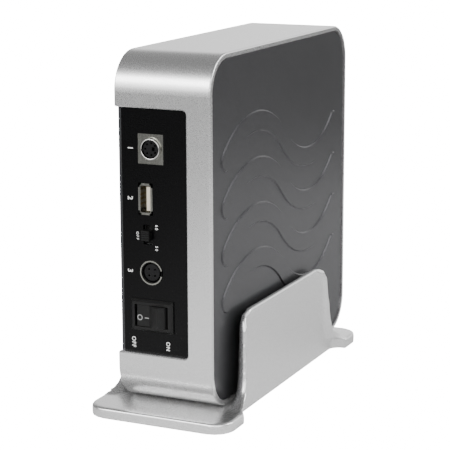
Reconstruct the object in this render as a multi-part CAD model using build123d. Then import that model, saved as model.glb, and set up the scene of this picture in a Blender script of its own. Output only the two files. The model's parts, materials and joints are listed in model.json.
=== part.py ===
from build123d import *
import os
from math import cos, exp, radians, sin, sqrt, tan

# An upright hard-disk media player that stands in a moulded desktop cradle.
# Millimetres. +X is the embossed side, -Y the connector end, +Z up. The origin is on the
# surface that the cradle's pads stand on, at the middle of the whole outline.
# Every function below works in the player's frame: x = 0 at mid width, y = 0 at the
# connector end of the housing, z = 0 at its underside. write() moves it to the origin.

# ---- Player housing ----------------------------------------------------------------
PLAYER_WIDTH = 48.0         # across the wrap-round band, along X
PLAYER_DEPTH = 168.0        # connector end to front end, along Y
PLAYER_HEIGHT = 164.0       # along Z
CORNER_RADIUS = 18.0        # side outline
BAND_WALL = 2.4
BAND_EDGE = 0.8             # rounding of the band's two rims
COVER_RECESS = 0.6          # cover faces lie this far inside the band's rims
COVER_THICK = 1.6
COVER_GAP = 0.15            # seam between cover and band
LEDGE_THICK = 1.5           # ledge that each cover seats on
LEDGE_DEPTH = 2.0
NOTCH_RIGHT = 11.9          # drawer opening: its right edge, from mid width
NOTCH_LOW = 24.8            # drawer opening: below it, and above it
NOTCH_ABOVE = 24.6
NOTCH_RADIUS = 2.0
NOTCH_BEVEL = 0.5
SHELF_THICK = 1.8           # moulded shelves above and below the drawer bay
RUN_GAP = 0.3               # running gap round the drawer
GUIDE_HEIGHT = 1.0          # guide ribs on the shelves
GUIDE_THICK = 1.2

# ---- Cover hooks and raised waves -----------------------------------------------------
HOOK_WIDTH = 9.0
HOOK_THICK = 1.3
HOOK_REACH = 3.6
HOOK_BARB = 0.8
HOOK_SPACING = 50.0
WAVE_COUNT = 4
WAVE_RELIEF = 0.6
WAVE_WIDTH = 10.0
WAVE_PITCH = 22.0
WAVE_RADIUS = 48.0
WAVE_HALF_ANGLE = 44.0      # degrees of arc either side of each crest

# ---- Cradle ---------------------------------------------------------------------------
PLATE_THICK = 5.4
PLATE_EDGE = 1.0
PAD_PROUD = 0.6             # rubber pads below the plate
PAD_THICK = 1.6
PAD_RADIUS = 5.0
PAD_INSET = 10.0            # pad centre from the foot's end
CRADLE_LENGTH = 172.0
FOOT_REACH = 11.5           # foot ahead of the housing's connector end
FOOT_HALF_WIDTH = 36.3
FOOT_LENGTH = 21.0
FOOT_CORNER = 10.0
WING_WALL = 3.0
WING_OUTER = 29.3           # outer face from mid width
WING_TOP = 42.8             # above the plate
WING_CORNER = 7.0
WING_CREST = 0.4            # rounding along its top edge
WING_LEVELS = (0, 0.02, 0.045, 0.07, 0.105, 0.15, 0.23, 0.4, 0.7, 1)  # shares of the height
SWEEP_HEIGHT = 3.2          # how fast the feet sweep up into the wings
SWEEP_REACH = 12.0
SWEEP_MARGIN = 0.1
WING_LEAN = 4.5             # the wing's ends lean in towards its top
LIP_FLARE = 4.2
LIP_TAPER = 2.6
CORE_RIM = 3.0              # hollow underside of the plate
CORE_SKIN = 2.4
CORE_RIBS = 4
CORE_RIB_THICK = 1.6

# ---- Connector panel -----------------------------------------------------------------
PANEL_RECESS = 2.0
PANEL_THICK = 2.0
PANEL_LUG = 2.0             # thickness of the lugs screwed to the tray
LUG_LENGTH = 9.0
LUG_SPAN = (-18.0, -8.0)
FIT_GAP = 0.1               # fixed pieces set in openings

# ---- Drive, a 3.5 inch outline in a housing this size ---------------------------------------------------
DRIVE_SPARE = 21.0          # the housing is this much longer than the drive: 147 mm
DRIVE_MARGIN = 6.5          # the bay is this much higher than it at each side: 101.6 mm
DRIVE_THICK = 25.4
DRIVE_HOLE_UP = 6.35        # side holes above the drive's board side
DRIVE_HOLES = (28.5, 16.9)  # from the drive's connector end and from its far end
DRIVE_NEAR = 17.5           # connector end of the drive
DRIVE_LID = 2.5
DRIVE_SCREW = 1.7           # shank radius
TRAY_SHEET = 1.2
TRAY_LEFT_GAP = 0.6         # tray floor to the left cover
TRAY_SLOT = (34.0, 16.0)
TRAY_PITCH = (45.0, 32.0)
TRAY_SPARE = 5.0            # tray's end to the housing's front
BOARD_THICK = 1.6
BOARD_GAP = 0.5             # main board to the opening's right edge
BOARD_NEAR = 6.0
BOARD_SPARE = 8.0           # board's end to the housing's front
BOARD_INSET = 0.9           # board edge inside the tray's rim edge
STANDOFF_RADIUS = 1.9
STANDOFF_NEAR = 30.0
STANDOFF_SPARE = 18.0       # far pair to the housing's front
SMALL_SCREW = 0.95          # M2 shank radius
SMALL_HEAD = 1.6
CONNECTOR_LENGTH = 43.5     # drive connector, along Z
CONNECTOR_INSET = 2.4       # from the drive's upper side
DOCK_NEAR = 9.0
DOCK_FACE = 17.0
CHIP_PLACE = (52.0, -8.0)   # processor: along Y, above the bay's middle
CHIP_HEIGHT = 1.6
CAPACITOR_HEIGHTS = (-25.1, -17.1, -9.1)  # these heights are from the bay's middle

# ---- Sockets and switches on the panel -----------------------------------------------
IO_BOARD_FACE = -13.4       # face of the socket board
IO_BOARD_FOOT = -28.1        # socket board's ends, from the bay's middle
IO_BOARD_HEAD = 47.9
IO_BOARD_DEPTH = 16.4
AV_PLACE = (-6.85, 38.6)    # from mid width and from the bay's middle, as for the next four
AV_PLATE = (12.8, 13.8)
AV_DEPTH = 12.0
RING_RADIUS = 5.45
RING_WALL = 0.6
CORE_RADIUS = 3.9
SOCKET_DEPTH = 6.0
PIN_HOLE = 0.5
PIN_DEPTH = 4.5
CORE_SEAT = 4.3             # core's foot, set in the socket's body
USB_PLACE = (-9.6, 15.5)
USB_TUBE = (5.7, 13.1)
USB_WALL = 0.35
USB_LIP = 0.75
USB_DEPTH = 13.0
TONGUE_THICK = 1.84
DC_PLACE = (-7.0, -18.6)
DC_RADIUS = 5.7
DC_WELL = 4.83
DC_DEPTH = 10.0
SLIDE_PLACE = (-8.68, -1.0)
SLIDE_SLOT = (4.6, 9.2)
KNOB_HEIGHT = 4.6
KNOB_PROUD = 3.0
ROCKER_PLACE = (-6.65, -39.0)
BEZEL_SIZE = (21.5, 15.0)
BEZEL_PROUD = 1.8
BEZEL_BEVEL = 1.0
ROCKER_MOUTH = (17.0, 10.5)
ROCKER_TILT = 16.0          # degrees either side of level, and the slope of its two faces
ROCKER_CREST = 3.8          # crease between its faces, above its pivot
ROCKER_SINK = 0.4           # the pressed face lies this far inside the bezel's
ROCKER_DEPTH = 11.0         # switch body behind the panel
PIVOT_RADIUS = 1.2
PIVOT_GAP = 0.05

# ---- Front end ------------------------------------------------------------------------
WINDOW_SIZE = (5.0, 14.0)
WINDOW_UP = 13.9            # from the bay's middle
LEDS_UP = (-20.1, -12.1)
LED_RADIUS = 1.5
LED_SPARE = 4.6             # lamp's tip to the housing's front
RECEIVER_SPARE = 11.6

# ---- Worked out -----------------------------------------------------------------------
HALF_WIDTH = PLAYER_WIDTH / 2
COVER_FACE = HALF_WIDTH - COVER_RECESS
LEDGE_FACE = COVER_FACE - COVER_THICK
LEDGE_BACK = LEDGE_FACE - LEDGE_THICK
INNER_END = PLAYER_DEPTH - BAND_WALL
NOTCH_HIGH = PLAYER_HEIGHT - NOTCH_ABOVE
BAY_MIDDLE = (NOTCH_LOW + NOTCH_HIGH) / 2
BAY_LOW = NOTCH_LOW + RUN_GAP
BAY_HIGH = NOTCH_HIGH - RUN_GAP
PANEL_FRONT = PANEL_RECESS
PANEL_BACK = PANEL_RECESS + PANEL_THICK
PANEL_LEFT = RUN_GAP - LEDGE_FACE
PANEL_RIGHT = NOTCH_RIGHT - RUN_GAP
TRAY_LEFT = TRAY_LEFT_GAP - LEDGE_FACE
TRAY_FLOOR = TRAY_LEFT + TRAY_SHEET
DRIVE_LENGTH = PLAYER_DEPTH - DRIVE_SPARE
DRIVE_WIDTH = NOTCH_HIGH - NOTCH_LOW - 2 * DRIVE_MARGIN
DRIVE_LEFT = TRAY_FLOOR + RUN_GAP
DRIVE_RIGHT = DRIVE_LEFT + DRIVE_THICK
DRIVE_FAR = DRIVE_NEAR + DRIVE_LENGTH
DRIVE_LOW = BAY_MIDDLE - DRIVE_WIDTH / 2
DRIVE_HIGH = BAY_MIDDLE + DRIVE_WIDTH / 2
WALL_LOW = DRIVE_LOW - 2 * FIT_GAP
WALL_HIGH = DRIVE_HIGH + 2 * FIT_GAP
RIM_RIGHT = DRIVE_RIGHT + RUN_GAP + 0.2
RIM_LEFT = RIM_RIGHT - TRAY_SHEET
BOARD_RIGHT = NOTCH_RIGHT - BOARD_GAP
BOARD_LEFT = BOARD_RIGHT - BOARD_THICK
HOLE_X = DRIVE_RIGHT - DRIVE_HOLE_UP
TRAY_END = PLAYER_DEPTH - TRAY_SPARE
BOARD_SPAN = (BOARD_NEAR, PLAYER_DEPTH - BOARD_SPARE)
STANDOFF_PLACES = (STANDOFF_NEAR, PLAYER_DEPTH - STANDOFF_SPARE)
LED_TIP = PLAYER_DEPTH - LED_SPARE
RIM_MIDDLE = (BAY_LOW + WALL_LOW - TRAY_SHEET) / 2 + 0.2
CONNECTOR_SPAN = (DRIVE_HIGH - CONNECTOR_INSET - CONNECTOR_LENGTH, DRIVE_HIGH - CONNECTOR_INSET)
IO_BOARD_SPAN = (BAY_MIDDLE + IO_BOARD_FOOT, BAY_MIDDLE + IO_BOARD_HEAD)
AV_CENTRE = (AV_PLACE[0], BAY_MIDDLE + AV_PLACE[1])
USB_CENTRE = (USB_PLACE[0], BAY_MIDDLE + USB_PLACE[1])
DC_CENTRE = (DC_PLACE[0], BAY_MIDDLE + DC_PLACE[1])
SLIDE_CENTRE = (SLIDE_PLACE[0], BAY_MIDDLE + SLIDE_PLACE[1])
ROCKER_CENTRE = (ROCKER_PLACE[0], BAY_MIDDLE + ROCKER_PLACE[1])
BEZEL_FRONT = PANEL_FRONT - BEZEL_PROUD
ROCKER_PIVOT_Y = BEZEL_FRONT + ROCKER_SINK + ROCKER_CREST * cos(radians(ROCKER_TILT))
WINDOW_HEIGHT = BAY_MIDDLE + WINDOW_UP
LED_HEIGHTS = [BAY_MIDDLE + up for up in LEDS_UP]
OVERALL_DEPTH = PLAYER_DEPTH + FOOT_REACH
CRADLE_MIDDLE = CRADLE_LENGTH / 2 - FOOT_REACH
WING_INNER = WING_OUTER - WING_WALL
TO_ORIGIN = Pos(0, FOOT_REACH - OVERALL_DEPTH / 2, PLATE_THICK + PAD_PROUD)


# ---- Helpers --------------------------------------------------------------------------
def block(x, y, z):
    """Box between two corners, each span given as a (low, high) pair."""
    body = Box(x[1] - x[0], y[1] - y[0], z[1] - z[0])
    return Pos((x[0] + x[1]) / 2, (y[0] + y[1]) / 2, (z[0] + z[1]) / 2) * body


def centred(x, y, z, size):
    """Box of the given size about a point."""
    return Pos(x, y, z) * Box(*size)


def rod(radius, start, end):
    """Round bar from one point to another."""
    axis = Vector(*end) - Vector(*start)
    return extrude(Plane(origin=start, z_dir=axis) * Circle(radius), axis.length)


def tube(outer, inner, start, end):
    """Round tube from one point to another."""
    return rod(outer, start, end) - rod(inner, start, end)


def side_slab(x, inset):
    """Slab of the housing's side outline, set in all round."""
    outline = RectangleRounded(PLAYER_DEPTH - 2 * inset, PLAYER_HEIGHT - 2 * inset,
                               CORNER_RADIUS - inset)
    placed = Plane.YZ.offset(x[0]) * Pos(PLAYER_DEPTH / 2, PLAYER_HEIGHT / 2) * outline
    return extrude(placed, x[1] - x[0])


def panel_prism(outline, centre, y):
    """Outline drawn on the panel (x across, z up), run along Y."""
    placed = Plane.XZ.offset(-y[0]) * Pos(centre[0], centre[1]) * outline
    return extrude(placed, y[0] - y[1])


def both_sides(shape):
    """A shape and its mirror image about the bay's middle height."""
    return shape + mirror(shape, Plane.XY.offset(BAY_MIDDLE))


def write(name, *solids):
    """Move the solids to the part's origin and write one file for the node."""
    placed = [TO_ORIGIN * s for body in solids for s in body.solids()]
    shape = placed[0] if len(placed) == 1 else Compound(children=placed)
    shape.label = name
    export_step(shape, f"parts/{name}.step")


# ---- Cradle ---------------------------------------------------------------------------
def foot_outline():
    """Plan of the cradle's plate: a narrow middle with a rounded foot at each end."""
    half = CRADLE_LENGTH / 2
    plan = Rectangle(2 * WING_OUTER, CRADLE_LENGTH - FOOT_LENGTH)
    for end in (-1, 1):
        plan += Pos(0, end * (half - FOOT_LENGTH / 2)) * Rectangle(2 * FOOT_HALF_WIDTH, FOOT_LENGTH)
    toes = [v for v in plan.vertices() if abs(v.Y) > half - 0.1]
    return fillet(toes, FOOT_CORNER)


def wing_section(height, half, lip, inset=0):
    """Plan of one wing at a height: a thin wall whose two ends flare outwards."""
    flare = lip - WING_WALL / 2 - WING_INNER
    start = half - flare
    centre_x = WING_INNER + flare
    inner, outer = WING_INNER + inset, WING_OUTER - inset
    tip = (lip - inset, half - WING_WALL / 2)
    turn = sin(radians(45))

    def arc(radius, end):
        middle = (centre_x - radius * turn, end * (start + radius * turn))
        return (centre_x - radius, end * start), middle, (centre_x, end * (start + radius))

    inner_near, inner_far = arc(centre_x - inner, -1), arc(centre_x - inner, 1)
    cove_near, cove_far = arc(centre_x - outer, -1), arc(centre_x - outer, 1)
    edges = [
        Line((inner, -start), (inner, start)),
        ThreePointArc(*inner_far),
        ThreePointArc(inner_far[2], tip, cove_far[2]),
        ThreePointArc(*reversed(cove_far)),
        Line((outer, start), (outer, -start)),
        ThreePointArc(*cove_near),
        ThreePointArc(cove_near[2], (tip[0], -tip[1]), inner_near[2]),
        ThreePointArc(*reversed(inner_near)),
    ]
    return Plane.XY.offset(height) * make_face(Wire(edges))


def wing():
    """One upstanding wing of the cradle, flaring into the feet at its ends."""
    base = CRADLE_LENGTH / 2 - FOOT_LENGTH + WING_WALL
    steps = [(share * (WING_TOP - WING_CREST), 0) for share in WING_LEVELS]
    for turn in (radians(45), radians(90)):
        steps.append((WING_TOP - WING_CREST * (1 - sin(turn)), WING_CREST * (1 - cos(turn))))
    sections = [wing_section(-PLATE_THICK, base, FOOT_HALF_WIDTH)]
    for rise, inset in steps:
        sweep = exp(-rise / SWEEP_HEIGHT)
        half = base - SWEEP_REACH * (1 - sweep) - WING_LEAN * rise / WING_TOP
        lip = WING_OUTER + LIP_FLARE - LIP_TAPER * rise / WING_TOP
        lip += (FOOT_HALF_WIDTH - WING_OUTER - LIP_FLARE) * sweep
        sections.append(wing_section(rise, half, lip, inset))
    wall = loft(sections, ruled=True)
    foot = base - SWEEP_REACH + SWEEP_MARGIN
    crest = foot - WING_LEAN
    arch = make_face(Polyline((-foot, 0), (-crest, WING_TOP), (crest, WING_TOP), (foot, 0), close=True))
    arch = fillet(arch.vertices().group_by(Axis.Y)[-1], WING_CORNER)
    arch += Rectangle(2 * base + 2, WING_TOP)
    return wall & extrude(Plane.YZ * arch, FOOT_HALF_WIDTH + 1)


def cradle():
    """Moulded desktop cradle: plate, two feet, two wings and a ribbed hollow underside."""
    plate = extrude(foot_outline(), -PLATE_THICK)
    rim = plate.faces().sort_by(Axis.Z)[-1].edges()
    plate = fillet(rim, PLATE_EDGE)
    inner = offset(Rectangle(2 * WING_OUTER, CRADLE_LENGTH), amount=-CORE_RIM)
    hollow = extrude(Plane.XY.offset(-PLATE_THICK) * inner, PLATE_THICK - CORE_SKIN)
    half = CRADLE_LENGTH / 2
    for end in (-1, 1):
        hollow -= block((-99, 99), sorted((end * (half - FOOT_LENGTH - 2), end * 99)), (-9, 0))
    for rib in range(CORE_RIBS):
        place = (rib - (CORE_RIBS - 1) / 2) * (CRADLE_LENGTH - 2 * FOOT_LENGTH) / CORE_RIBS
        hollow -= centred(0, place, -PLATE_THICK / 2, (99, CORE_RIB_THICK, PLATE_THICK + 2))
    body = plate - hollow + wing() + mirror(wing(), Plane.YZ)
    for x, y in pad_places():
        body -= rod(PAD_RADIUS + FIT_GAP, (x, y, -PLATE_THICK), (x, y, PAD_THICK - PAD_PROUD - PLATE_THICK))
    return Pos(0, CRADLE_MIDDLE) * body


def pad_places():
    """Centres of the four pads, from the cradle's middle."""
    x, y = FOOT_HALF_WIDTH - PAD_INSET, CRADLE_LENGTH / 2 - PAD_INSET
    return [(-x, -y), (x, -y), (-x, y), (x, y)]


def cradle_pads():
    """Four rubber pads let into the underside of the feet."""
    bottom = -PLATE_THICK - PAD_PROUD
    return [Pos(0, CRADLE_MIDDLE) * rod(PAD_RADIUS, (x, y, bottom), (x, y, bottom + PAD_THICK))
            for x, y in pad_places()]


# ---- Housing --------------------------------------------------------------------------
def band():
    """Silver wrap-round band with its drawer notch, cover ledges and bay shelves."""
    shell = side_slab((-HALF_WIDTH, HALF_WIDTH), 0)
    ends = shell.faces().sort_by(Axis.X)
    shell = fillet(ends[0].edges() + ends[-1].edges(), BAND_EDGE)
    shell -= side_slab((-HALF_WIDTH - 1, HALF_WIDTH + 1), BAND_WALL)
    for low in (-LEDGE_FACE, LEDGE_BACK):
        span = (low, low + LEDGE_THICK)
        shell += side_slab(span, BAND_WALL - 0.5) - side_slab(span, BAND_WALL + LEDGE_DEPTH)
    across = (-LEDGE_FACE, LEDGE_FACE)
    deep = (BAND_WALL / 2, PLAYER_DEPTH - BAND_WALL / 2)
    shelf = block(across, deep, (NOTCH_LOW - SHELF_THICK, NOTCH_LOW))
    ribs = (RIM_LEFT - GUIDE_THICK - RUN_GAP, NOTCH_RIGHT + FIT_GAP)
    for x in ribs:
        run = (PANEL_BACK + 2, INNER_END - 0.5)
        shelf += block((x, x + GUIDE_THICK), run, (NOTCH_LOW - 0.5, NOTCH_LOW + GUIDE_HEIGHT))
    shell += both_sides(shelf)
    width = NOTCH_RIGHT + HALF_WIDTH + 10
    mouth = RectangleRounded(width, NOTCH_HIGH - NOTCH_LOW, NOTCH_RADIUS)
    middle = (NOTCH_RIGHT - width / 2, BAY_MIDDLE)
    shell -= panel_prism(mouth, middle, (-1, BAND_WALL + LEDGE_DEPTH + 0.1))
    brim = shell.edges().filter_by(lambda e: abs(e.bounding_box().max.Y) < 0.01
                                   and e.center().X < NOTCH_RIGHT + 0.1
                                   and NOTCH_LOW - 0.1 < e.center().Z < NOTCH_HIGH + 0.1)
    shell = chamfer(brim, NOTCH_BEVEL)
    return shell - front_holes(0)


def front_holes(grow):
    """Stepped window hole and two light-pipe holes in the front wall, or what fills them."""
    x = BOARD_LEFT - LED_RADIUS - 0.7
    face = Rectangle(WINDOW_SIZE[0] - grow, WINDOW_SIZE[1] - grow)
    back = Rectangle(WINDOW_SIZE[0] + 1.6 - grow, WINDOW_SIZE[1] + 1.6 - grow)
    window = panel_prism(face, (x, WINDOW_HEIGHT), (INNER_END - 1, PLAYER_DEPTH + 1))
    window += panel_prism(back, (x, WINDOW_HEIGHT), (INNER_END - 1, INNER_END + BAND_WALL / 2))
    pipes = [rod(LED_RADIUS - grow / 2, (x, INNER_END - 1, z), (x, PLAYER_DEPTH + 1, z)) for z in LED_HEIGHTS]
    return window + pipes


def front_window():
    """Smoked infra-red window let into the front wall from inside."""
    x = BOARD_LEFT - LED_RADIUS - 0.7
    within = block((-99, 99), (INNER_END - 0.4, PLAYER_DEPTH - 0.2), (0, PLAYER_HEIGHT))
    near = block((x - 9, x + 9), (INNER_END - 0.4, PLAYER_DEPTH), (WINDOW_HEIGHT - 10, WINDOW_HEIGHT + 10))
    return front_holes(FIT_GAP) & within & near


def light_pipes():
    """Two clear pipes that bring the lamps' light through the front wall."""
    x = BOARD_LEFT - LED_RADIUS - 0.7
    radius = LED_RADIUS - FIT_GAP / 2
    pipes = []
    for z in LED_HEIGHTS:
        pipe = rod(radius, (x, INNER_END - 0.8, z), (x, PLAYER_DEPTH, z))
        pipe += rod(radius + 0.6, (x, INNER_END - 0.8, z), (x, INNER_END, z))
        pipes.append(fillet(pipe.edges().sort_by(Axis.Y)[-1], 0.5))
    return pipes


def hook(x, z, up):
    """Snap hook on a cover's inner face that catches behind the ledge."""
    edge = BAND_WALL + LEDGE_DEPTH + FIT_GAP
    depth = HOOK_THICK + HOOK_BARB
    profile = Polyline((0, 0), (HOOK_REACH, 0), (HOOK_REACH, HOOK_THICK), (HOOK_REACH - 1, depth),
                       (LEDGE_THICK + FIT_GAP, depth), (LEDGE_THICK + FIT_GAP, HOOK_THICK),
                       (0, HOOK_THICK), close=True)
    tab = extrude(Plane.XZ * make_face(profile), HOOK_WIDTH / 2, both=True)
    tab = mirror(tab, Plane.YZ) if x > 0 else tab
    tab = tab if up else mirror(tab, Plane.XY)
    level = PLAYER_HEIGHT - edge - HOOK_THICK if up else edge + HOOK_THICK
    return Pos(x, z, level) * tab


def cover(side):
    """Side cover set inside the band on its ledge; side is 1 or -1 along X."""
    span = (LEDGE_FACE, COVER_FACE) if side > 0 else (-COVER_FACE, -LEDGE_FACE)
    plate = side_slab(span, BAND_WALL + COVER_GAP)
    outer = plate.faces().sort_by(Axis.X)[-1 if side > 0 else 0]
    plate = fillet(outer.edges(), 0.4)
    for step in (-1, 0, 1):
        for up in (True, False):
            y = PLAYER_DEPTH / 2 + step * HOOK_SPACING
            plate += hook(side * LEDGE_FACE, y, up)
    return plate


def wave(height):
    """One raised S-shaped band on the embossed cover, as two tangent arcs of even width."""
    reach = WAVE_RADIUS * sin(radians(WAVE_HALF_ANGLE))
    drop = WAVE_RADIUS * cos(radians(WAVE_HALF_ANGLE))
    half = WAVE_WIDTH / 2

    def at(side, radius, angle):
        turn = radians(angle)
        return side * reach + radius * sin(turn), height + side * (drop - radius * cos(turn))

    def arc(side, radius, start, end):
        return ThreePointArc(*(at(side, radius, a) for a in (start, (start + end) / 2, end)))

    def cap(side, angle):
        tip = half * cos(radians(angle)), half * sin(radians(angle))
        middle = at(side, WAVE_RADIUS, angle)
        ends = at(side, WAVE_RADIUS - half, angle), at(side, WAVE_RADIUS + half, angle)
        return ends, (middle[0] + side * abs(tip[0]), middle[1] + tip[1])

    angle = WAVE_HALF_ANGLE
    (left_in, left_out), left_tip = cap(-1, -angle)
    (right_in, right_out), right_tip = cap(1, angle)
    right_tip = (right_tip[0], at(1, WAVE_RADIUS, angle)[1] + half * sin(radians(angle)))
    left_tip = (left_tip[0], at(-1, WAVE_RADIUS, -angle)[1] - half * sin(radians(angle)))
    edges = [
        arc(-1, WAVE_RADIUS + half, -angle, angle), arc(1, WAVE_RADIUS - half, -angle, angle),
        ThreePointArc(right_in, right_tip, right_out),
        arc(1, WAVE_RADIUS + half, angle, -angle), arc(-1, WAVE_RADIUS - half, angle, -angle),
        ThreePointArc(left_in, left_tip, left_out),
    ]
    return make_face(Wire(edges))


def embossed_cover():
    """Right-hand cover with its raised, bevelled waves."""
    plate = cover(1)
    for step in range(WAVE_COUNT):
        height = (step - (WAVE_COUNT - 1) / 2) * WAVE_PITCH
        face = Plane.YZ.offset(COVER_FACE) * Pos(PLAYER_DEPTH / 2, PLAYER_HEIGHT / 2) * wave(height)
        plate += extrude(face, WAVE_RELIEF, taper=45)
    return plate


# ---- Drawer: tray, panel and drive -------------------------------------------------------
def drive_tray():
    """Folded sheet tray: floor beside the drive, two walls and two outward rims."""
    run = (PANEL_BACK, TRAY_END)
    sheet = block((TRAY_LEFT, TRAY_FLOOR), run, (WALL_LOW - TRAY_SHEET, WALL_HIGH + TRAY_SHEET))
    fold = block((TRAY_LEFT, RIM_RIGHT), run, (WALL_LOW - TRAY_SHEET, WALL_LOW))
    fold += block((RIM_LEFT, RIM_RIGHT), run, (BAY_LOW, WALL_LOW))
    sheet += both_sides(fold)
    outer = WALL_LOW - TRAY_SHEET
    for y in drive_hole_places():
        sheet -= both_sides(rod(DRIVE_SCREW + FIT_GAP, (HOLE_X, y, outer - 1), (HOLE_X, y, WALL_LOW + 1)))
    lug_x, lug_y = sum(LUG_SPAN) / 2, PANEL_BACK + LUG_LENGTH / 2
    sheet -= both_sides(rod(SMALL_SCREW + FIT_GAP, (lug_x, lug_y, outer - 1), (lug_x, lug_y, WALL_LOW + 1)))
    for y in STANDOFF_PLACES:
        sheet -= both_sides(rod(SMALL_SCREW + FIT_GAP, (RIM_LEFT - 1, y, RIM_MIDDLE),
                                (RIM_RIGHT + 1, y, RIM_MIDDLE)))
    slot = RectangleRounded(*TRAY_SLOT, TRAY_SLOT[1] / 2 - 2)
    for row in (-1, 0, 1):
        for column in (0, 1, 2):
            y, z = DRIVE_NEAR + 28 + column * TRAY_PITCH[0], BAY_MIDDLE + row * TRAY_PITCH[1]
            sheet -= extrude(Plane.YZ.offset(TRAY_LEFT - 1) * Pos(y, z) * slot, TRAY_SHEET + 2)
    return sheet


def drive_hole_places():
    """Where the drive's side holes lie along Y."""
    return [DRIVE_NEAR + DRIVE_HOLES[0], DRIVE_FAR - DRIVE_HOLES[1]]


def connector_panel():
    """Black end panel with its sockets' openings and two lugs screwed to the tray."""
    size = (PANEL_RIGHT - PANEL_LEFT, BAY_HIGH - BAY_LOW)
    centre = (PANEL_LEFT + size[0] / 2, BAY_MIDDLE)
    panel = panel_prism(Rectangle(*size), centre, (PANEL_FRONT, PANEL_BACK))
    right = panel.edges().filter_by(Axis.Y).filter_by(lambda e: e.center().X > centre[0])
    panel = fillet(right, NOTCH_RADIUS - RUN_GAP)
    lug = block(LUG_SPAN, (PANEL_BACK - 0.5, PANEL_BACK + LUG_LENGTH), (WALL_LOW, WALL_LOW + PANEL_LUG))
    middle, depth = sum(LUG_SPAN) / 2, PANEL_BACK + LUG_LENGTH / 2
    lug -= rod(SMALL_SCREW, (middle, depth, WALL_LOW - 1), (middle, depth, WALL_LOW + PANEL_LUG + 1))
    panel += both_sides(lug)
    through = (PANEL_FRONT - 1, PANEL_BACK + 0.01)
    gap = 2 * FIT_GAP
    openings = [
        (Rectangle(AV_PLATE[0] + gap, AV_PLATE[1] + gap), AV_CENTRE),
        (Rectangle(USB_TUBE[0] + 2 * USB_LIP + gap, USB_TUBE[1] + 2 * USB_LIP + gap), USB_CENTRE),
        (Circle(DC_RADIUS + FIT_GAP), DC_CENTRE),
        (RectangleRounded(*SLIDE_SLOT, 0.6), SLIDE_CENTRE),
        (Rectangle(BEZEL_SIZE[0] - 2 + gap, BEZEL_SIZE[1] - 2 + gap), ROCKER_CENTRE),
    ]
    for outline, place in openings:
        panel -= panel_prism(outline, place, through)
    return panel


def drive_casting():
    """Cast drive base: hollow, with side holes, a board recess and a connector notch."""
    top = DRIVE_LEFT + DRIVE_LID
    base = block((top, DRIVE_RIGHT), (DRIVE_NEAR, DRIVE_FAR), (DRIVE_LOW, DRIVE_HIGH))
    base = fillet(base.edges().filter_by(Axis.X), 3)
    spindle_y = DRIVE_FAR - DRIVE_WIDTH / 2
    base -= rod(DRIVE_WIDTH / 2 - 3.2, (top - 1, spindle_y, BAY_MIDDLE), (DRIVE_RIGHT - 5, spindle_y, BAY_MIDDLE))
    arm = (DRIVE_NEAR + 8, spindle_y)
    base -= block((top - 1, DRIVE_RIGHT - 5), arm, (DRIVE_LOW + 12, DRIVE_HIGH - 12))
    base -= board_recess(0)
    base += rod(14, (DRIVE_RIGHT - 5.2, spindle_y, BAY_MIDDLE), (DRIVE_RIGHT - 0.8, spindle_y, BAY_MIDDLE))
    base -= block((DRIVE_RIGHT - 6, DRIVE_RIGHT + 1), (DRIVE_NEAR - 1, DRIVE_NEAR + 7), CONNECTOR_SPAN)
    for y in drive_hole_places():
        depth = (DRIVE_LOW - 1, DRIVE_LOW + 5)
        base -= both_sides(rod(DRIVE_SCREW + FIT_GAP, (HOLE_X, y, depth[0]), (HOLE_X, y, depth[1])))
    return base


def board_recess(inset):
    """Pocket on the drive's board side, or the board's outline when set in."""
    low = DRIVE_RIGHT - 2.4
    length = DRIVE_LENGTH * 0.6
    outline = Rectangle(length - 2 * inset, DRIVE_WIDTH - 24 - 2 * inset)
    outline = Pos(DRIVE_NEAR + length / 2, BAY_MIDDLE) * outline
    return extrude(Plane.YZ.offset(low) * outline, 6)


def drive_board():
    """The drive's own circuit board, clear round the spindle boss."""
    board = board_recess(0.4) & block((DRIVE_RIGHT - 2.4, DRIVE_RIGHT - 1.2), (0, 999), (0, 999))
    spindle_y = DRIVE_FAR - DRIVE_WIDTH / 2
    board -= rod(14.5, (0, spindle_y, BAY_MIDDLE), (DRIVE_RIGHT + 1, spindle_y, BAY_MIDDLE))
    return board - block((0, DRIVE_RIGHT), (0, DRIVE_NEAR + 7), CONNECTOR_SPAN)


def drive_chips():
    """Packages on the drive's board."""
    face = DRIVE_RIGHT - 1.2
    places = [(DRIVE_NEAR + 30, -10, 16, 16), (DRIVE_NEAR + 34, 20, 12, 9), (DRIVE_NEAR + 62, -24, 9, 9)]
    return [block((face, face + 1.1), (y - w / 2, y + w / 2), (BAY_MIDDLE + z - h / 2, BAY_MIDDLE + z + h / 2))
            for y, z, w, h in places]


def drive_lid():
    """Stamped drive lid with its raised middle and disc-shaped dome."""
    flat = block((DRIVE_LEFT + DRIVE_LID - 1, DRIVE_LEFT + DRIVE_LID), (DRIVE_NEAR, DRIVE_FAR),
                 (DRIVE_LOW, DRIVE_HIGH))
    flat = fillet(flat.edges().filter_by(Axis.X), 3)
    spindle_y = DRIVE_FAR - DRIVE_WIDTH / 2
    raised = Plane.YZ.offset(DRIVE_LEFT + DRIVE_LID - 1) * (
        Pos(spindle_y, BAY_MIDDLE) * Circle(DRIVE_WIDTH / 2 - 5)
        + Pos(DRIVE_NEAR + 43, BAY_MIDDLE) * RectangleRounded(66, DRIVE_WIDTH - 26, 8))
    lid = flat + extrude(raised, -(DRIVE_LID - 1), taper=20)
    return lid - rod(9, (DRIVE_LEFT - 1, spindle_y, BAY_MIDDLE), (DRIVE_LEFT + 0.6, spindle_y, BAY_MIDDLE))


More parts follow.
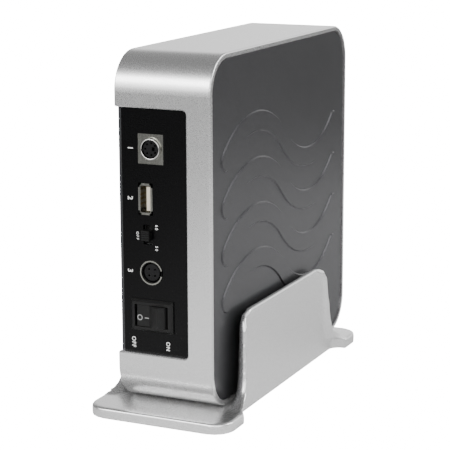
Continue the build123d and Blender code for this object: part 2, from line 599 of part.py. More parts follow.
def drive_connector():
    """Power and data edge connector of the drive, opening towards the panel end."""
    body = block((DRIVE_RIGHT - 5.6, DRIVE_RIGHT - 0.4), (DRIVE_NEAR + 0.3, DRIVE_NEAR + 6.9),
                 (CONNECTOR_SPAN[0] + 0.2, CONNECTOR_SPAN[1] - 0.2))
    return body - dock_tongues(0.3, DRIVE_NEAR + 5)


def dock_tongues(grow, far):
    """The two tongues that join the drive to the main board."""
    middle = DRIVE_RIGHT - 3
    low, high = CONNECTOR_SPAN
    split = low + (high - low) * 0.64
    spans = ((low + 3, split - 1.2), (split + 1.2, high - 3))
    return [block((middle - 0.9 - grow, middle + 0.9 + grow), (DOCK_FACE, far),
                  (a - grow, b + grow)) for a, b in spans]


def dock_socket():
    """Receptacle on the main board that the drive plugs straight on to."""
    body = block((DRIVE_RIGHT - 5.4, BOARD_LEFT), (DOCK_NEAR, DOCK_FACE + 0.2),
                 (CONNECTOR_SPAN[0] + 0.5, CONNECTOR_SPAN[1] - 0.5))
    return body + dock_tongues(0, DRIVE_NEAR + 4.6)


def drive_screws():
    """Screws through the tray's walls into the drive's side holes."""
    outer = WALL_LOW - TRAY_SHEET
    group = []
    for y in drive_hole_places():
        head = rod(3, (HOLE_X, y, outer - 1.9), (HOLE_X, y, outer))
        head = fillet(head.edges().sort_by(Axis.Z)[0], 0.8)
        head += rod(DRIVE_SCREW, (HOLE_X, y, outer - 0.5), (HOLE_X, y, DRIVE_LOW + 4.5))
        group += [head, mirror(head, Plane.XY.offset(BAY_MIDDLE))]
    return group


def panel_screws():
    """Small screws through the tray's walls into the panel's lugs."""
    x, y, outer = sum(LUG_SPAN) / 2, PANEL_BACK + LUG_LENGTH / 2, WALL_LOW - TRAY_SHEET
    screw = rod(SMALL_HEAD, (x, y, outer - 1.3), (x, y, outer))
    screw += rod(SMALL_SCREW - FIT_GAP / 2, (x, y, outer - 0.5), (x, y, WALL_LOW + PANEL_LUG))
    return [screw, mirror(screw, Plane.XY.offset(BAY_MIDDLE))]


# ---- Main board ---------------------------------------------------------------------------
def main_board():
    """Main circuit board along the right of the drawer."""
    low = BAY_LOW + BOARD_INSET
    board = block((BOARD_LEFT, BOARD_RIGHT), BOARD_SPAN, (low, 2 * BAY_MIDDLE - low))
    board = fillet(board.edges().filter_by(Axis.X), 2)
    for y in STANDOFF_PLACES:
        board -= both_sides(rod(SMALL_SCREW + 0.4, (BOARD_LEFT - 1, y, RIM_MIDDLE), (99, y, RIM_MIDDLE)))
    return board


def board_standoffs():
    """Threaded standoffs between the tray's rims and the main board."""
    group = []
    for y in STANDOFF_PLACES:
        post = rod(STANDOFF_RADIUS, (RIM_RIGHT, y, RIM_MIDDLE), (BOARD_LEFT, y, RIM_MIDDLE))
        post += rod(SMALL_SCREW + 0.35, (RIM_RIGHT, y, RIM_MIDDLE), (BOARD_RIGHT, y, RIM_MIDDLE))
        post -= rod(SMALL_SCREW + 0.05, (RIM_RIGHT - 1, y, RIM_MIDDLE), (BOARD_LEFT, y, RIM_MIDDLE))
        group += [post, mirror(post, Plane.XY.offset(BAY_MIDDLE))]
    return group


def board_screws():
    """Screws through the tray's rims into the standoffs."""
    group = []
    for y in STANDOFF_PLACES:
        screw = rod(SMALL_HEAD, (RIM_LEFT - 1.2, y, RIM_MIDDLE), (RIM_LEFT, y, RIM_MIDDLE))
        screw += rod(SMALL_SCREW, (RIM_LEFT - 0.5, y, RIM_MIDDLE), (BOARD_LEFT - 0.5, y, RIM_MIDDLE))
        group += [screw, mirror(screw, Plane.XY.offset(BAY_MIDDLE))]
    return group


def on_board(places, height):
    """Square-cornered packages on the main board's drive side, as (y, z, length, width)."""
    return [block((BOARD_LEFT - height, BOARD_LEFT), (y - a / 2, y + a / 2),
                  (BAY_MIDDLE + z - b / 2, BAY_MIDDLE + z + b / 2)) for y, z, a, b in places]


def heat_sink():
    """Low finned heat sink on the processor."""
    top = BOARD_LEFT - CHIP_HEIGHT
    y, z = CHIP_PLACE[0], BAY_MIDDLE + CHIP_PLACE[1]
    sink = block((top - 0.8, top), (y - 11, y + 11), (z - 11, z + 11))
    for fin in range(8):
        level = z - 11 + fin * (22 - 0.9) / 7
        sink += block((top - 2.0, top - 0.5), (y - 11, y + 11), (level, level + 0.9))
    return sink


def capacitors():
    """Electrolytic capacitors standing on the main board beside the sockets."""
    group = []
    for up in CAPACITOR_HEIGHTS:
        z = BAY_MIDDLE + up
        can = rod(3.15, (BOARD_LEFT - 7, 11.2, z), (BOARD_LEFT, 11.2, z))
        group.append(fillet(can.edges().sort_by(Axis.X)[0], 0.5))
    return group


def lamps():
    """Two indicator lamps lying on the main board's front edge."""
    x = BOARD_LEFT - LED_RADIUS - 0.7
    group = []
    for z in LED_HEIGHTS:
        lamp = rod(LED_RADIUS, (x, LED_TIP - 5, z), (x, LED_TIP, z)) + rod(1.9, (x, LED_TIP - 5, z), (x, LED_TIP - 4, z))
        lamp = fillet(lamp.edges().sort_by(Axis.Y)[-1], 1.2)
        lead = block((x - 0.25, BOARD_LEFT), (LED_TIP - 7, LED_TIP - 6.5), (z - 0.25, z + 0.25))
        lead += block((x - 0.25, x + 0.25), (LED_TIP - 7, LED_TIP - 4.9), (z - 0.25, z + 0.25))
        group.append(lamp + lead)
    return group


def infra_red_receiver():
    """Remote-control receiver behind the smoked window."""
    near = PLAYER_DEPTH - RECEIVER_SPARE
    body = block((BOARD_LEFT - 3.9, BOARD_LEFT), (near, near + 5), (WINDOW_HEIGHT - 3, WINDOW_HEIGHT + 3))
    lens = Pos(BOARD_LEFT - 2, near + 4.8, WINDOW_HEIGHT) * Sphere(1.8)
    return body + lens


# ---- Sockets and switches ------------------------------------------------------------------
def socket_board():
    """Small upright board that carries the sockets behind the panel."""
    return block((IO_BOARD_FACE - BOARD_THICK, IO_BOARD_FACE), (PANEL_BACK + 0.5, IO_BOARD_DEPTH), IO_BOARD_SPAN)


def socket_standoffs():
    """Posts between the tray floor and the socket board."""
    y = (PANEL_BACK + IO_BOARD_DEPTH) / 2 + 3
    return [rod(2.2, (TRAY_FLOOR, y, z), (IO_BOARD_FACE - BOARD_THICK, y, z)) for z in
            (IO_BOARD_SPAN[0] + 18, IO_BOARD_SPAN[1] - 22)]


def board_link():
    """Pin header that joins the socket board to the main board, with its pins."""
    z = (USB_CENTRE[1] + USB_TUBE[1] / 2 + AV_CENTRE[1] - AV_PLATE[1] / 2) / 2
    spacer = block((IO_BOARD_FACE, IO_BOARD_FACE + 2.5), (7.0, 16.0), (z - 1.4, z + 1.4))
    spacer += block((-0.6, BOARD_LEFT), (5.6, 8.4), (z - 1.4, z + 1.4))
    spacer += block((IO_BOARD_FACE + 2, 0), (7.2, 8.2), (z - 0.9, z + 0.9))
    return spacer


def av_shell():
    """Square metal plate and collar of the round signal socket."""
    x, z = AV_CENTRE
    plate = block((x - AV_PLATE[0] / 2, x + AV_PLATE[0] / 2), (PANEL_FRONT + 0.2, PANEL_FRONT + 0.8),
                  (z - AV_PLATE[1] / 2, z + AV_PLATE[1] / 2))
    plate += rod(RING_RADIUS, (x, PANEL_FRONT - 0.5, z), (x, PANEL_FRONT + SOCKET_DEPTH, z))
    return plate - rod(RING_RADIUS - RING_WALL, (x, 0, z), (x, 99, z))


def av_body():
    """Black body of the signal socket behind its plate."""
    x, z = AV_CENTRE
    front = PANEL_FRONT + 0.8
    body = block((x - AV_PLATE[0] / 2 + 0.2, x + AV_PLATE[0] / 2 - 0.2), (front, front + AV_DEPTH),
                 (z - AV_PLATE[1] / 2 + 0.3, z + AV_PLATE[1] / 2 - 0.3))
    body -= rod(RING_RADIUS + FIT_GAP, (x, 0, z), (x, PANEL_FRONT + SOCKET_DEPTH + FIT_GAP, z))
    return body - rod(CORE_SEAT, (x, 0, z), (x, front + AV_DEPTH - 1.2, z))


def socket_core(centre, back, pins, spread, first, step):
    """Insulating core of a round socket with its ring of pin holes, set in the body's well."""
    x, z = centre
    core = rod(CORE_RADIUS, (x, PANEL_FRONT + 0.4, z), (x, back, z))
    core += rod(CORE_SEAT - FIT_GAP, (x, PANEL_FRONT + SOCKET_DEPTH + 0.6, z), (x, back, z))
    for pin in range(pins):
        turn = radians(first + pin * step)
        place = (x + spread * cos(turn), z + spread * sin(turn))
        core -= rod(PIN_HOLE, (place[0], 0, place[1]), (place[0], PANEL_FRONT + PIN_DEPTH, place[1]))
    return core


def av_core():
    """Core of the signal socket: seven pin holes and a square key."""
    x, z = AV_CENTRE
    core = socket_core(AV_CENTRE, PANEL_FRONT + AV_DEPTH - 0.5, 7, 2.75, 35, 48.3)
    return core - block((x + 0.6, x + 2.0), (0, PANEL_FRONT + PIN_DEPTH), (z - 0.9, z + 0.9))


def dc_core():
    """Core of the supply socket: four pin holes."""
    return socket_core(DC_CENTRE, PANEL_BACK + DC_DEPTH - 1.3, 4, 2.1, 45, 90)


def dc_body():
    """Black moulded body of the four-pole supply socket."""
    x, z = DC_CENTRE
    body = block((x - 6.3, x + 6.3), (PANEL_BACK + 0.2, PANEL_BACK + DC_DEPTH), (z - 6.3, z + 6.3))
    body += rod(DC_RADIUS - 0.7, (x, PANEL_FRONT + 0.3, z), (x, PANEL_BACK + 1, z))
    body -= rod(DC_WELL, (x, 0, z), (x, PANEL_FRONT + SOCKET_DEPTH, z))
    return body - rod(CORE_SEAT, (x, 0, z), (x, PANEL_BACK + DC_DEPTH - 1.2, z))


def dc_ring():
    """Bright C-shaped collar of the supply socket, open at the right."""
    x, z = DC_CENTRE
    ring = tube(DC_RADIUS, DC_RADIUS - 0.65, (x, PANEL_FRONT - 0.6, z), (x, PANEL_BACK + 0.1, z))
    return ring - block((x + 3, x + 9), (0, 9), (z - 1.3, z + 1.3))


def usb_shell():
    """Folded metal shell of the flat socket with four flared lips."""
    x, z = USB_CENTRE
    w, h = USB_TUBE
    front, back = PANEL_FRONT - 0.2, PANEL_FRONT - 0.2 + USB_DEPTH
    shell = block((x - w / 2, x + w / 2), (front, back), (z - h / 2, z + h / 2))
    shell = fillet(shell.edges().filter_by(Axis.Y), 0.6)
    lips = []
    for wide, tall in ((w - 1.6, h + 2 * USB_LIP), (w + 2 * USB_LIP, h - 2.4)):
        face = Plane.XZ.offset(-front) * Pos(x, z) * Rectangle(wide, tall)
        neck = Plane.XZ.offset(-front - 1.2) * Pos(x, z) * Rectangle(wide - (0 if wide < w else 2 * USB_LIP),
                                                                   tall - (0 if wide > w else 2 * USB_LIP))
        lips.append(loft([face, neck]))
    shell += lips
    bore = (w - 2 * USB_WALL, h - 2 * USB_WALL)
    shell -= block((x - bore[0] / 2, x + bore[0] / 2), (front - 1, back - 1), (z - bore[1] / 2, z + bore[1] / 2))
    return shell


def usb_tongue():
    """Pale insulating tongue inside the flat socket."""
    x, z = USB_CENTRE
    h = USB_TUBE[1] - 2 * USB_WALL
    left = x + 0.15
    tongue = block((left, left + TONGUE_THICK), (PANEL_FRONT + 0.9, PANEL_FRONT + 11.6), (z - h / 2 + 0.7, z + h / 2 - 0.7))
    root = block((x - USB_TUBE[0] / 2 + 0.5, x + USB_TUBE[0] / 2 - 0.5), (PANEL_FRONT + 9.5, PANEL_FRONT + 11.6),
                 (z - h / 2 + 0.1, z + h / 2 - 0.1))
    return tongue + root


def usb_contacts():
    """Four contacts on the tongue's left face."""
    x, z = USB_CENTRE
    left = x + 0.15
    return [block((left - 0.2, left), (PANEL_FRONT + 1.6, PANEL_FRONT + 9.4), (z + place - 0.5, z + place + 0.5))
            for place in (-3.5, -1.0, 1.0, 3.5)]


def slide_frame():
    """Steel frame of the mode switch behind the panel."""
    x, z = SLIDE_CENTRE
    frame = block((x - 4.5, x + 4.5), (PANEL_BACK + 0.2, PANEL_BACK + 4.2), (z - 8.4, z + 8.4))
    frame -= block((x - 3.9, x + 3.9), (PANEL_BACK + 0.7, 99), (z - 7.9, z + 7.9))
    return frame - block((x - SLIDE_SLOT[0] / 2, x + SLIDE_SLOT[0] / 2), (0, 9),
                         (z - SLIDE_SLOT[1] / 2, z + SLIDE_SLOT[1] / 2))


def slide_base():
    """Brown laminate base that closes the mode switch's frame, with its contacts' pins."""
    x, z = SLIDE_CENTRE
    base = block((x - 3.8, x + 3.8), (PANEL_BACK + 3.2, PANEL_BACK + 4.4), (z - 7.8, z + 7.8))
    for place in (-5, 0, 5):
        base += block((IO_BOARD_FACE, x - 3), (PANEL_BACK + 4.2, PANEL_BACK + 4.8), (z + place - 0.4, z + place + 0.4))
    return base


def slide_knob():
    """Ribbed knob of the mode switch with its carriage; rests at the middle."""
    x, z = SLIDE_CENTRE
    front = PANEL_FRONT - KNOB_PROUD
    half = SLIDE_SLOT[0] / 2 - 0.3
    knob = block((x - half, x + half), (front, PANEL_BACK + 1.2), (z - KNOB_HEIGHT / 2, z + KNOB_HEIGHT / 2))
    for groove in range(4):
        level = z + (groove - 1.5) * 0.95
        knob -= block((x - 9, x + 9), (front - 1, front + 0.6), (level - 0.2, level + 0.2))
    carriage = block((x - 3.4, x + 3.4), (PANEL_BACK + 1.0, PANEL_BACK + 2.8), (z - 5, z + 5))
    return knob + carriage


def rocker_profile(radius_gap):
    """Side view of the rocker about its pivot: two faces rising outwards, round ends, flat base."""
    radius = ROCKER_MOUTH[0] / 2 - radius_gap
    slope = tan(radians(ROCKER_TILT))
    a, b, c = 1 + slope ** 2, 2 * ROCKER_CREST * slope, ROCKER_CREST ** 2 - radius ** 2
    tip = (-b + sqrt(b * b - 4 * a * c)) / (2 * a)
    top = ROCKER_CREST + slope * tip
    skirt = -1.0
    side = sqrt(radius ** 2 - skirt ** 2)
    mid = (top + skirt) / 2
    bulge = sqrt(radius ** 2 - mid ** 2)
    foot = (5.5, -3.0)
    edges = [
        Polyline((-tip, top), (0, ROCKER_CREST), (tip, top)),
        ThreePointArc((tip, top), (bulge, mid), (side, skirt)),
        Polyline((side, skirt), foot, (-foot[0], foot[1]), (-side, skirt)),
        ThreePointArc((-side, skirt), (-bulge, mid), (-tip, top)),
    ]
    return make_face(Wire([e for part in edges for e in part.edges()]))


def rocker():
    """Rocker button with its two trunnions, tipped to OFF: left end in, right end out."""
    height = ROCKER_MOUTH[1] - 0.4
    flat = Plane((0, 0, 0), x_dir=(1, 0, 0), z_dir=(0, 0, 1)) * mirror(rocker_profile(0.25), Plane.XZ)
    body = extrude(flat, height / 2, both=True)
    pin = height / 2 + 0.7
    body += rod(PIVOT_RADIUS, (0, 0, -pin), (0, 0, pin))
    return Pos(ROCKER_CENTRE[0], ROCKER_PIVOT_Y, ROCKER_CENTRE[1]) * Rot(0, 0, -ROCKER_TILT) * body


def rocker_body():
    """Switch body with its bevelled bezel, the well that the rocker tips in and its bearings."""
    x, z = ROCKER_CENTRE
    front = BEZEL_FRONT
    outer = Rectangle(*BEZEL_SIZE)
    bezel = extrude(Plane.XZ.offset(-PANEL_FRONT) * Pos(x, z) * outer, BEZEL_PROUD)
    rim = bezel.faces().sort_by(Axis.Y)[0].edges()
    bezel = chamfer(rim, BEZEL_BEVEL)
    size = (BEZEL_SIZE[0] - 2, BEZEL_SIZE[1] - 2)
    bezel += block((x - size[0] / 2, x + size[0] / 2), (PANEL_FRONT - 0.5, PANEL_FRONT + ROCKER_DEPTH),
                   (z - size[1] / 2, z + size[1] / 2))
    well = (front - 1, ROCKER_PIVOT_Y + 4.6)
    bezel -= block((x - ROCKER_MOUTH[0] / 2, x + ROCKER_MOUTH[0] / 2), well,
                   (z - ROCKER_MOUTH[1] / 2, z + ROCKER_MOUTH[1] / 2))
    reach = ROCKER_MOUTH[1] / 2 + 0.8
    bearing = (x, ROCKER_PIVOT_Y)
    return bezel - rod(PIVOT_RADIUS + PIVOT_GAP, (*bearing, z - reach), (*bearing, z + reach))


def rocker_terminals():
    """Two flat solder terminals at the back of the switch."""
    x, z = ROCKER_CENTRE
    back = PANEL_FRONT + ROCKER_DEPTH
    return [block((x + place - 0.4, x + place + 0.4), (back, back + 3.6), (z - 1.6, z + 1.6)) for place in (-4, 4)]


def rocker_leads():
    """Two short insulated leads from the terminals to the main board."""
    x, z = ROCKER_CENTRE
    y = PANEL_FRONT + ROCKER_DEPTH + 2.2
    left = rod(0.7, (x - 3.6, y, z + 1.0), (x + 3.0, y, z + 1.0))
    right = rod(0.7, (x + 4.4, y, z - 1.0), (BOARD_LEFT, y, z - 1.0))
    return [left, right]


# ---- Everything, one file for each node ---------------------------------------------------
MEMORY_PLACES = [(82, 10, 22, 10), (82, -10, 22, 10)]
SMALL_CHIPS = [(112, 22, 14, 14), (108, -26, 10, 8), (34, 36, 9, 9)]
COIL_PLACES = [(30, -38, 7, 7), (42, -38, 7, 7)]
CRYSTAL_PLACES = [(66, 22, 11, 4.6)]

os.makedirs("parts", exist_ok=True)
NODES = {
    "cradle": [cradle()],
    "cradle_pads": cradle_pads(),
    "wrap_band": [band()],
    "embossed_cover": [embossed_cover()],
    "plain_cover": [cover(-1)],
    "front_window": [front_window()],
    "light_pipes": light_pipes(),
    "drive_tray": [drive_tray()],
    "connector_panel": [connector_panel()],
    "panel_screws": panel_screws(),
    "drive_casting": [drive_casting()],
    "drive_lid": [drive_lid()],
    "drive_board": [drive_board()],
    "drive_chips": drive_chips(),
    "drive_connector": [drive_connector()],
    "drive_screws": drive_screws(),
    "main_board": [main_board()],
    "board_standoffs": board_standoffs(),
    "board_screws": board_screws(),
    "dock_socket": [dock_socket()],
    "processor": on_board([(*CHIP_PLACE, 20, 20)], CHIP_HEIGHT),
    "heat_sink": [heat_sink()],
    "memory_chips": on_board(MEMORY_PLACES, 1.2),
    "small_chips": on_board(SMALL_CHIPS, 1.4),
    "power_coils": on_board(COIL_PLACES, 3.0),
    "crystal": on_board(CRYSTAL_PLACES, 3.4),
    "capacitors": capacitors(),
    "indicator_lamps": lamps(),
    "infra_red_receiver": [infra_red_receiver()],
    "socket_board": [socket_board()],
    "socket_standoffs": socket_standoffs(),
    "board_link": [board_link()],
    "av_socket_shell": [av_shell()],
    "av_socket_body": [av_body()],
    "av_socket_core": [av_core()],
    "usb_socket_shell": [usb_shell()],
    "usb_tongue": [usb_tongue()],
    "usb_contacts": usb_contacts(),
    "supply_socket_body": [dc_body()],
    "supply_socket_core": [dc_core()],
    "supply_socket_ring": [dc_ring()],
    "slide_switch_frame": [slide_frame()],
    "slide_switch_base": [slide_base()],
    "slide_knob": [slide_knob()],
    "rocker_switch_body": [rocker_body()],
    "power_rocker": [rocker()],
    "rocker_terminals": rocker_terminals(),
    "rocker_leads": rocker_leads(),
}
for node, solids in NODES.items():
    write(node, *solids)
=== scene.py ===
"""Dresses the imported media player, its drawer and its cradle, and sets the studio round them."""
import json
import logging
import math
from collections.abc import Callable
from dataclasses import dataclass
from enum import Enum

import bmesh
import bpy
from mathutils import Matrix, Vector

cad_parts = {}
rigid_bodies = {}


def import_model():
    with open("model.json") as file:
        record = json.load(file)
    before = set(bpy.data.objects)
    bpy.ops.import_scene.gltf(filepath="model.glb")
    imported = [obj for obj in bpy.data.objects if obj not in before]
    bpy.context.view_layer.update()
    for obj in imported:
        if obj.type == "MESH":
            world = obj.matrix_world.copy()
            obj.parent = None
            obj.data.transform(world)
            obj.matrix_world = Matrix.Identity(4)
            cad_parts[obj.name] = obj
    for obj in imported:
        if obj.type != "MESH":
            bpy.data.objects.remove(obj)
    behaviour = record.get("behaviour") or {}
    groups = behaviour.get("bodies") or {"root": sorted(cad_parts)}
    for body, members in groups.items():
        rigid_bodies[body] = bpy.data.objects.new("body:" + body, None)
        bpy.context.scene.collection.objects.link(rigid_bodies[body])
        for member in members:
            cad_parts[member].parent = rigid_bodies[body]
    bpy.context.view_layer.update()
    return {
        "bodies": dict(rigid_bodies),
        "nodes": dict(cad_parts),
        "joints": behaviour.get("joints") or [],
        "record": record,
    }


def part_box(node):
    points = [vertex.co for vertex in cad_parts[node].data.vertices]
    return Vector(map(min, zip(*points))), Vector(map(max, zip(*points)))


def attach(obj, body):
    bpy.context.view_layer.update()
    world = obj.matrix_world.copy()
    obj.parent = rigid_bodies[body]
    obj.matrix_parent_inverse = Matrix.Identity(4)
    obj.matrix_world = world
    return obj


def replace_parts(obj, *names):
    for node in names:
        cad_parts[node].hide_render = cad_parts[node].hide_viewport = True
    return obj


logging.basicConfig(level=logging.INFO, format="%(name)s: %(message)s")
LOG = logging.getLogger("dress")
MM = 0.001
ROUND_SIDES = 48
SMOOTH_ANGLE = 35.0
FINE_ANGLE = 25.0
FOUR_SIDES = ("front", "back", "up", "down")
TWO_SIDES = ("up", "down")
RGB = tuple[float, float, float]
Triple = tuple[float, float, float]
Span = tuple[float, float]
Piece = bpy.types.Object
Node = bpy.types.Node
Socket = bpy.types.NodeSocket
Tree = bpy.types.NodeTree
SURFACE = ("Height", "Mask")
DUST_COLOUR = (0.62, 0.60, 0.56, 1.0)


class Body(Enum):
    """The moving bodies of the frame."""

    STAND = "stand"
    PLAYER = "player"
    DRAWER = "drawer"
    KNOB = "mode_knob"
    ROCKER = "rocker"


class Texture(Enum):
    """How a finish's surface is broken up close to."""

    FLECK = "metallic paint fleck"
    GRAIN = "moulded grain"
    BRUSHED = "rolled or brushed lines"
    CAST = "cast skin"
    TRACKS = "circuit tracks"


# ---- Node groups -------------------------------------------------------------------------
class Graph:
    """A node tree being filled from left to right."""

    def __init__(self, tree: Tree) -> None:
        """Take over a tree.

        Args:
            tree: The material's or the group's tree.
        """
        self.tree = tree

    def add(self, kind: str, links: dict | None = None, **settings: object) -> Node:
        """Add a node.

        Args:
            kind: The node's type, without its ShaderNode prefix.
            links: Input names or indices, each with a socket to link or a value to set.
            settings: The node's own properties.

        Returns:
            The new node.
        """
        node = self.tree.nodes.new(kind if kind.startswith("Node") else "ShaderNode" + kind)
        for name, value in settings.items():
            setattr(node, name, value)
        for name, value in (links or {}).items():
            if isinstance(value, Socket):
                self.send(value, node.inputs[name])
            else:
                node.inputs[name].default_value = value
        return node

    def send(self, value: Socket, target: Socket) -> None:
        """Link a value to an input.

        Args:
            value: The socket to link from.
            target: The input's socket.
        """
        self.tree.links.new(value, target)

    def close(self, out: Node, *values: Socket) -> Tree:
        """Send a group's values to its outputs, in order.

        Args:
            out: The group's output node.
            values: One socket for each output.

        Returns:
            The group's tree.
        """
        for value, target in zip(values, out.inputs):
            self.send(value, target)
        return self.tree

    def maths(self, how: str, a: object, b: object = 0.0, clamp: bool = False) -> Socket:
        """Join two values by a Math node.

        Args:
            how: The operation.
            a: The first socket or number.
            b: The second socket or number.
            clamp: Whether the result stays between 0 and 1.

        Returns:
            The result's socket.
        """
        return self.add("Math", {0: a, 1: b}, operation=how, use_clamp=clamp).outputs[0]

    def spread(self, value: Socket, low: float, high: float,
               to: Span = (0.0, 1.0)) -> Socket:
        """Stretch a value from one span to another, clamped.

        Args:
            value: The socket to stretch.
            low: What becomes the first end of the new span.
            high: What becomes its second end.
            to: The new span.

        Returns:
            The stretched value's socket.
        """
        links = {"Value": value, "From Min": low, "From Max": high, "To Min": to[0], "To Max": to[1]}
        return self.add("MapRange", links).outputs[0]

    def blend(self, factor: object, first: object, second: object) -> Socket:
        """Mix two colours.

        Args:
            factor: Socket or number, 0 for the first colour.
            first: Socket or RGBA colour.
            second: Socket or RGBA colour.

        Returns:
            The mixed colour's socket.
        """
        return self.add("Mix", {0: factor, 6: first, 7: second}, data_type="RGBA").outputs[2]


def new_group(name: str, scale: float,
              outputs: tuple[str, ...]) -> tuple[Graph, Socket, Socket, Node]:
    """Start a shader node group that takes a place and a scale.

    Args:
        name: The group's name.
        scale: The scale that it starts with.
        outputs: Names of its float outputs.

    Returns:
        The graph, the sockets that give the place and the scale, and the output node.
    """
    tree = bpy.data.node_groups.new(name, "ShaderNodeTree")
    tree.interface.new_socket("Vector", in_out="INPUT", socket_type="NodeSocketVector")
    tree.interface.new_socket("Scale", in_out="INPUT", socket_type="NodeSocketFloat").default_value = scale
    for key in outputs:
        tree.interface.new_socket(key, in_out="OUTPUT", socket_type="NodeSocketFloat")
    graph = Graph(tree)
    given = graph.add("NodeGroupInput")
    return graph, given.outputs[0], given.outputs[1], graph.add("NodeGroupOutput")


class Effects:
    """The node groups that the finishes share, each built once."""

    def __init__(self) -> None:
        """Build every group."""
        self.groups = {
            Texture.FLECK: self.fleck(),
            Texture.GRAIN: self.grain(),
            Texture.BRUSHED: self.brushed(),
            Texture.CAST: self.cast(),
            Texture.TRACKS: self.tracks(),
        }
        self.drift = self.tone_drift()
        self.wear = self.handling()

    def fleck(self) -> Tree:
        """Return the group for metallic paint: flecks, with a faint orange peel below them."""
        graph, place, scale, out = new_group("paint_fleck", 4000.0, SURFACE)
        cells = graph.add("TexVoronoi", {"Vector": place, "Scale": scale})
        bright = graph.add("SeparateColor", {"Color": cells.outputs["Color"]})
        peel = graph.add("TexNoise", {"Vector": place, "Scale": 420.0, "Detail": 2.0})
        lift = graph.maths("MULTIPLY", bright.outputs[0], 0.12)
        height = graph.maths("ADD", peel.outputs[0], lift)
        return graph.close(out, height, graph.spread(bright.outputs[1], 0.1, 0.9))

    def grain(self) -> Tree:
        """Return the group for the fine grain that a mould leaves on plastic."""
        graph, place, scale, out = new_group("mould_grain", 2600.0, SURFACE)
        pits = graph.add("TexVoronoi", {"Vector": place, "Scale": scale, "Randomness": 0.9},
                         feature="SMOOTH_F1")
        soft = graph.add("TexNoise", {"Vector": place, "Scale": scale, "Detail": 3.0})
        height = graph.maths("ADD", pits.outputs[0], soft.outputs[0])
        return graph.close(out, height, graph.spread(soft.outputs[0], 0.3, 0.7))

    def brushed(self) -> Tree:
        """Return the group for rolled sheet and plate: long fine lines along Z."""
        graph, place, scale, out = new_group("rolled_lines", 900.0, SURFACE)
        stretched = graph.add("VectorMath", {0: place, 1: (1.0, 1.0, 0.04)}, operation="MULTIPLY")
        lines = graph.add("TexNoise", {"Vector": stretched.outputs[0], "Scale": scale, "Detail": 5.0,
                                       "Roughness": 0.7})
        return graph.close(out, lines.outputs[0], graph.spread(lines.outputs[0], 0.32, 0.68))

    def cast(self) -> Tree:
        """Return the group for a die-cast or tumbled skin."""
        graph, place, scale, out = new_group("cast_skin", 1400.0, SURFACE)
        coarse = graph.add("TexNoise", {"Vector": place, "Scale": scale, "Detail": 6.0, "Roughness": 0.65})
        flow = graph.add("TexNoise", {"Vector": place, "Scale": 60.0, "Distortion": 1.4})
        return graph.close(out, coarse.outputs[0], graph.spread(flow.outputs[0], 0.35, 0.65))

    def tracks(self) -> Tree:
        """Return the group for a circuit board: copper tracks and round pads under the green lacquer."""
        graph, place, scale, out = new_group("board_tracks", 190.0, SURFACE)
        axes = graph.add("SeparateXYZ", {0: place})
        runs = []
        for first, second in ((1, 2), (2, 1)):
            flat = graph.add("CombineXYZ", {0: axes.outputs[first], 1: axes.outputs[second]})
            bricks = graph.add("TexBrick", {
                "Vector": flat.outputs[0], "Scale": scale, "Mortar Size": 0.07, "Mortar Smooth": 0.1,
                "Brick Width": 3.1, "Row Height": 0.24})
            runs.append(graph.maths("SUBTRACT", 1.0, bricks.outputs["Fac"]))
        patches = graph.add("TexVoronoi", {"Vector": place, "Scale": 52.0, "Randomness": 0.35},
                            distance="CHEBYCHEV")
        lots = graph.add("SeparateColor", {"Color": patches.outputs["Color"]})
        which = graph.spread(lots.outputs[0], 0.495, 0.505)
        tracks = graph.maths("ADD", graph.maths("MULTIPLY", runs[0], which),
                             graph.maths("MULTIPLY", runs[1], graph.maths("SUBTRACT", 1.0, which)))
        bare = graph.spread(lots.outputs[1], 0.84, 0.85, (1.0, 0.25))
        cells = graph.add("TexVoronoi", {"Vector": place, "Scale": 150.0})
        pads = graph.spread(cells.outputs["Distance"], 0.11, 0.09)
        copper = graph.maths("MAXIMUM", graph.maths("MULTIPLY", tracks, bare), pads)
        return graph.close(out, copper, copper)

    def tone_drift(self) -> Tree:
        """Return the group for slow changes of tone over a piece."""
        graph, place, scale, out = new_group("tone_drift", 14.0, ("Mask",))
        clouds = graph.add("TexNoise", {"Vector": place, "Scale": scale, "Detail": 4.0})
        return graph.close(out, graph.spread(clouds.outputs[0], 0.3, 0.7))

    def handling(self) -> Tree:
        """Return the group for handling marks: a few hair scratches, and dust on what faces up."""
        graph, place, scale, out = new_group("handling_marks", 55.0, ("Scratches", "Dust"))
        turned = graph.add("Mapping", {
            "Vector": place, "Rotation": (0.6, 0.4, 0.9), "Scale": (1.0, 9.0, 1.0)})
        hairs = graph.add("TexVoronoi", {"Vector": turned.outputs[0], "Scale": scale},
                          feature="DISTANCE_TO_EDGE")
        rare = graph.add("TexNoise", {"Vector": place, "Scale": 38.0, "Detail": 2.0})
        fine = graph.spread(hairs.outputs[0], 0.012, 0.0)
        few = graph.spread(rare.outputs[0], 0.58, 0.68)
        scratches = graph.maths("MULTIPLY", fine, few)
        facing = graph.add("SeparateXYZ", {0: graph.add("NewGeometry").outputs["Normal"]})
        specks = graph.add("TexNoise", {"Vector": place, "Scale": 900.0, "Detail": 3.0})
        upward = graph.spread(facing.outputs[2], 0.55, 1.0)
        settled = graph.spread(specks.outputs[0], 0.5, 0.75)
        return graph.close(out, scratches, graph.maths("MULTIPLY", upward, settled))


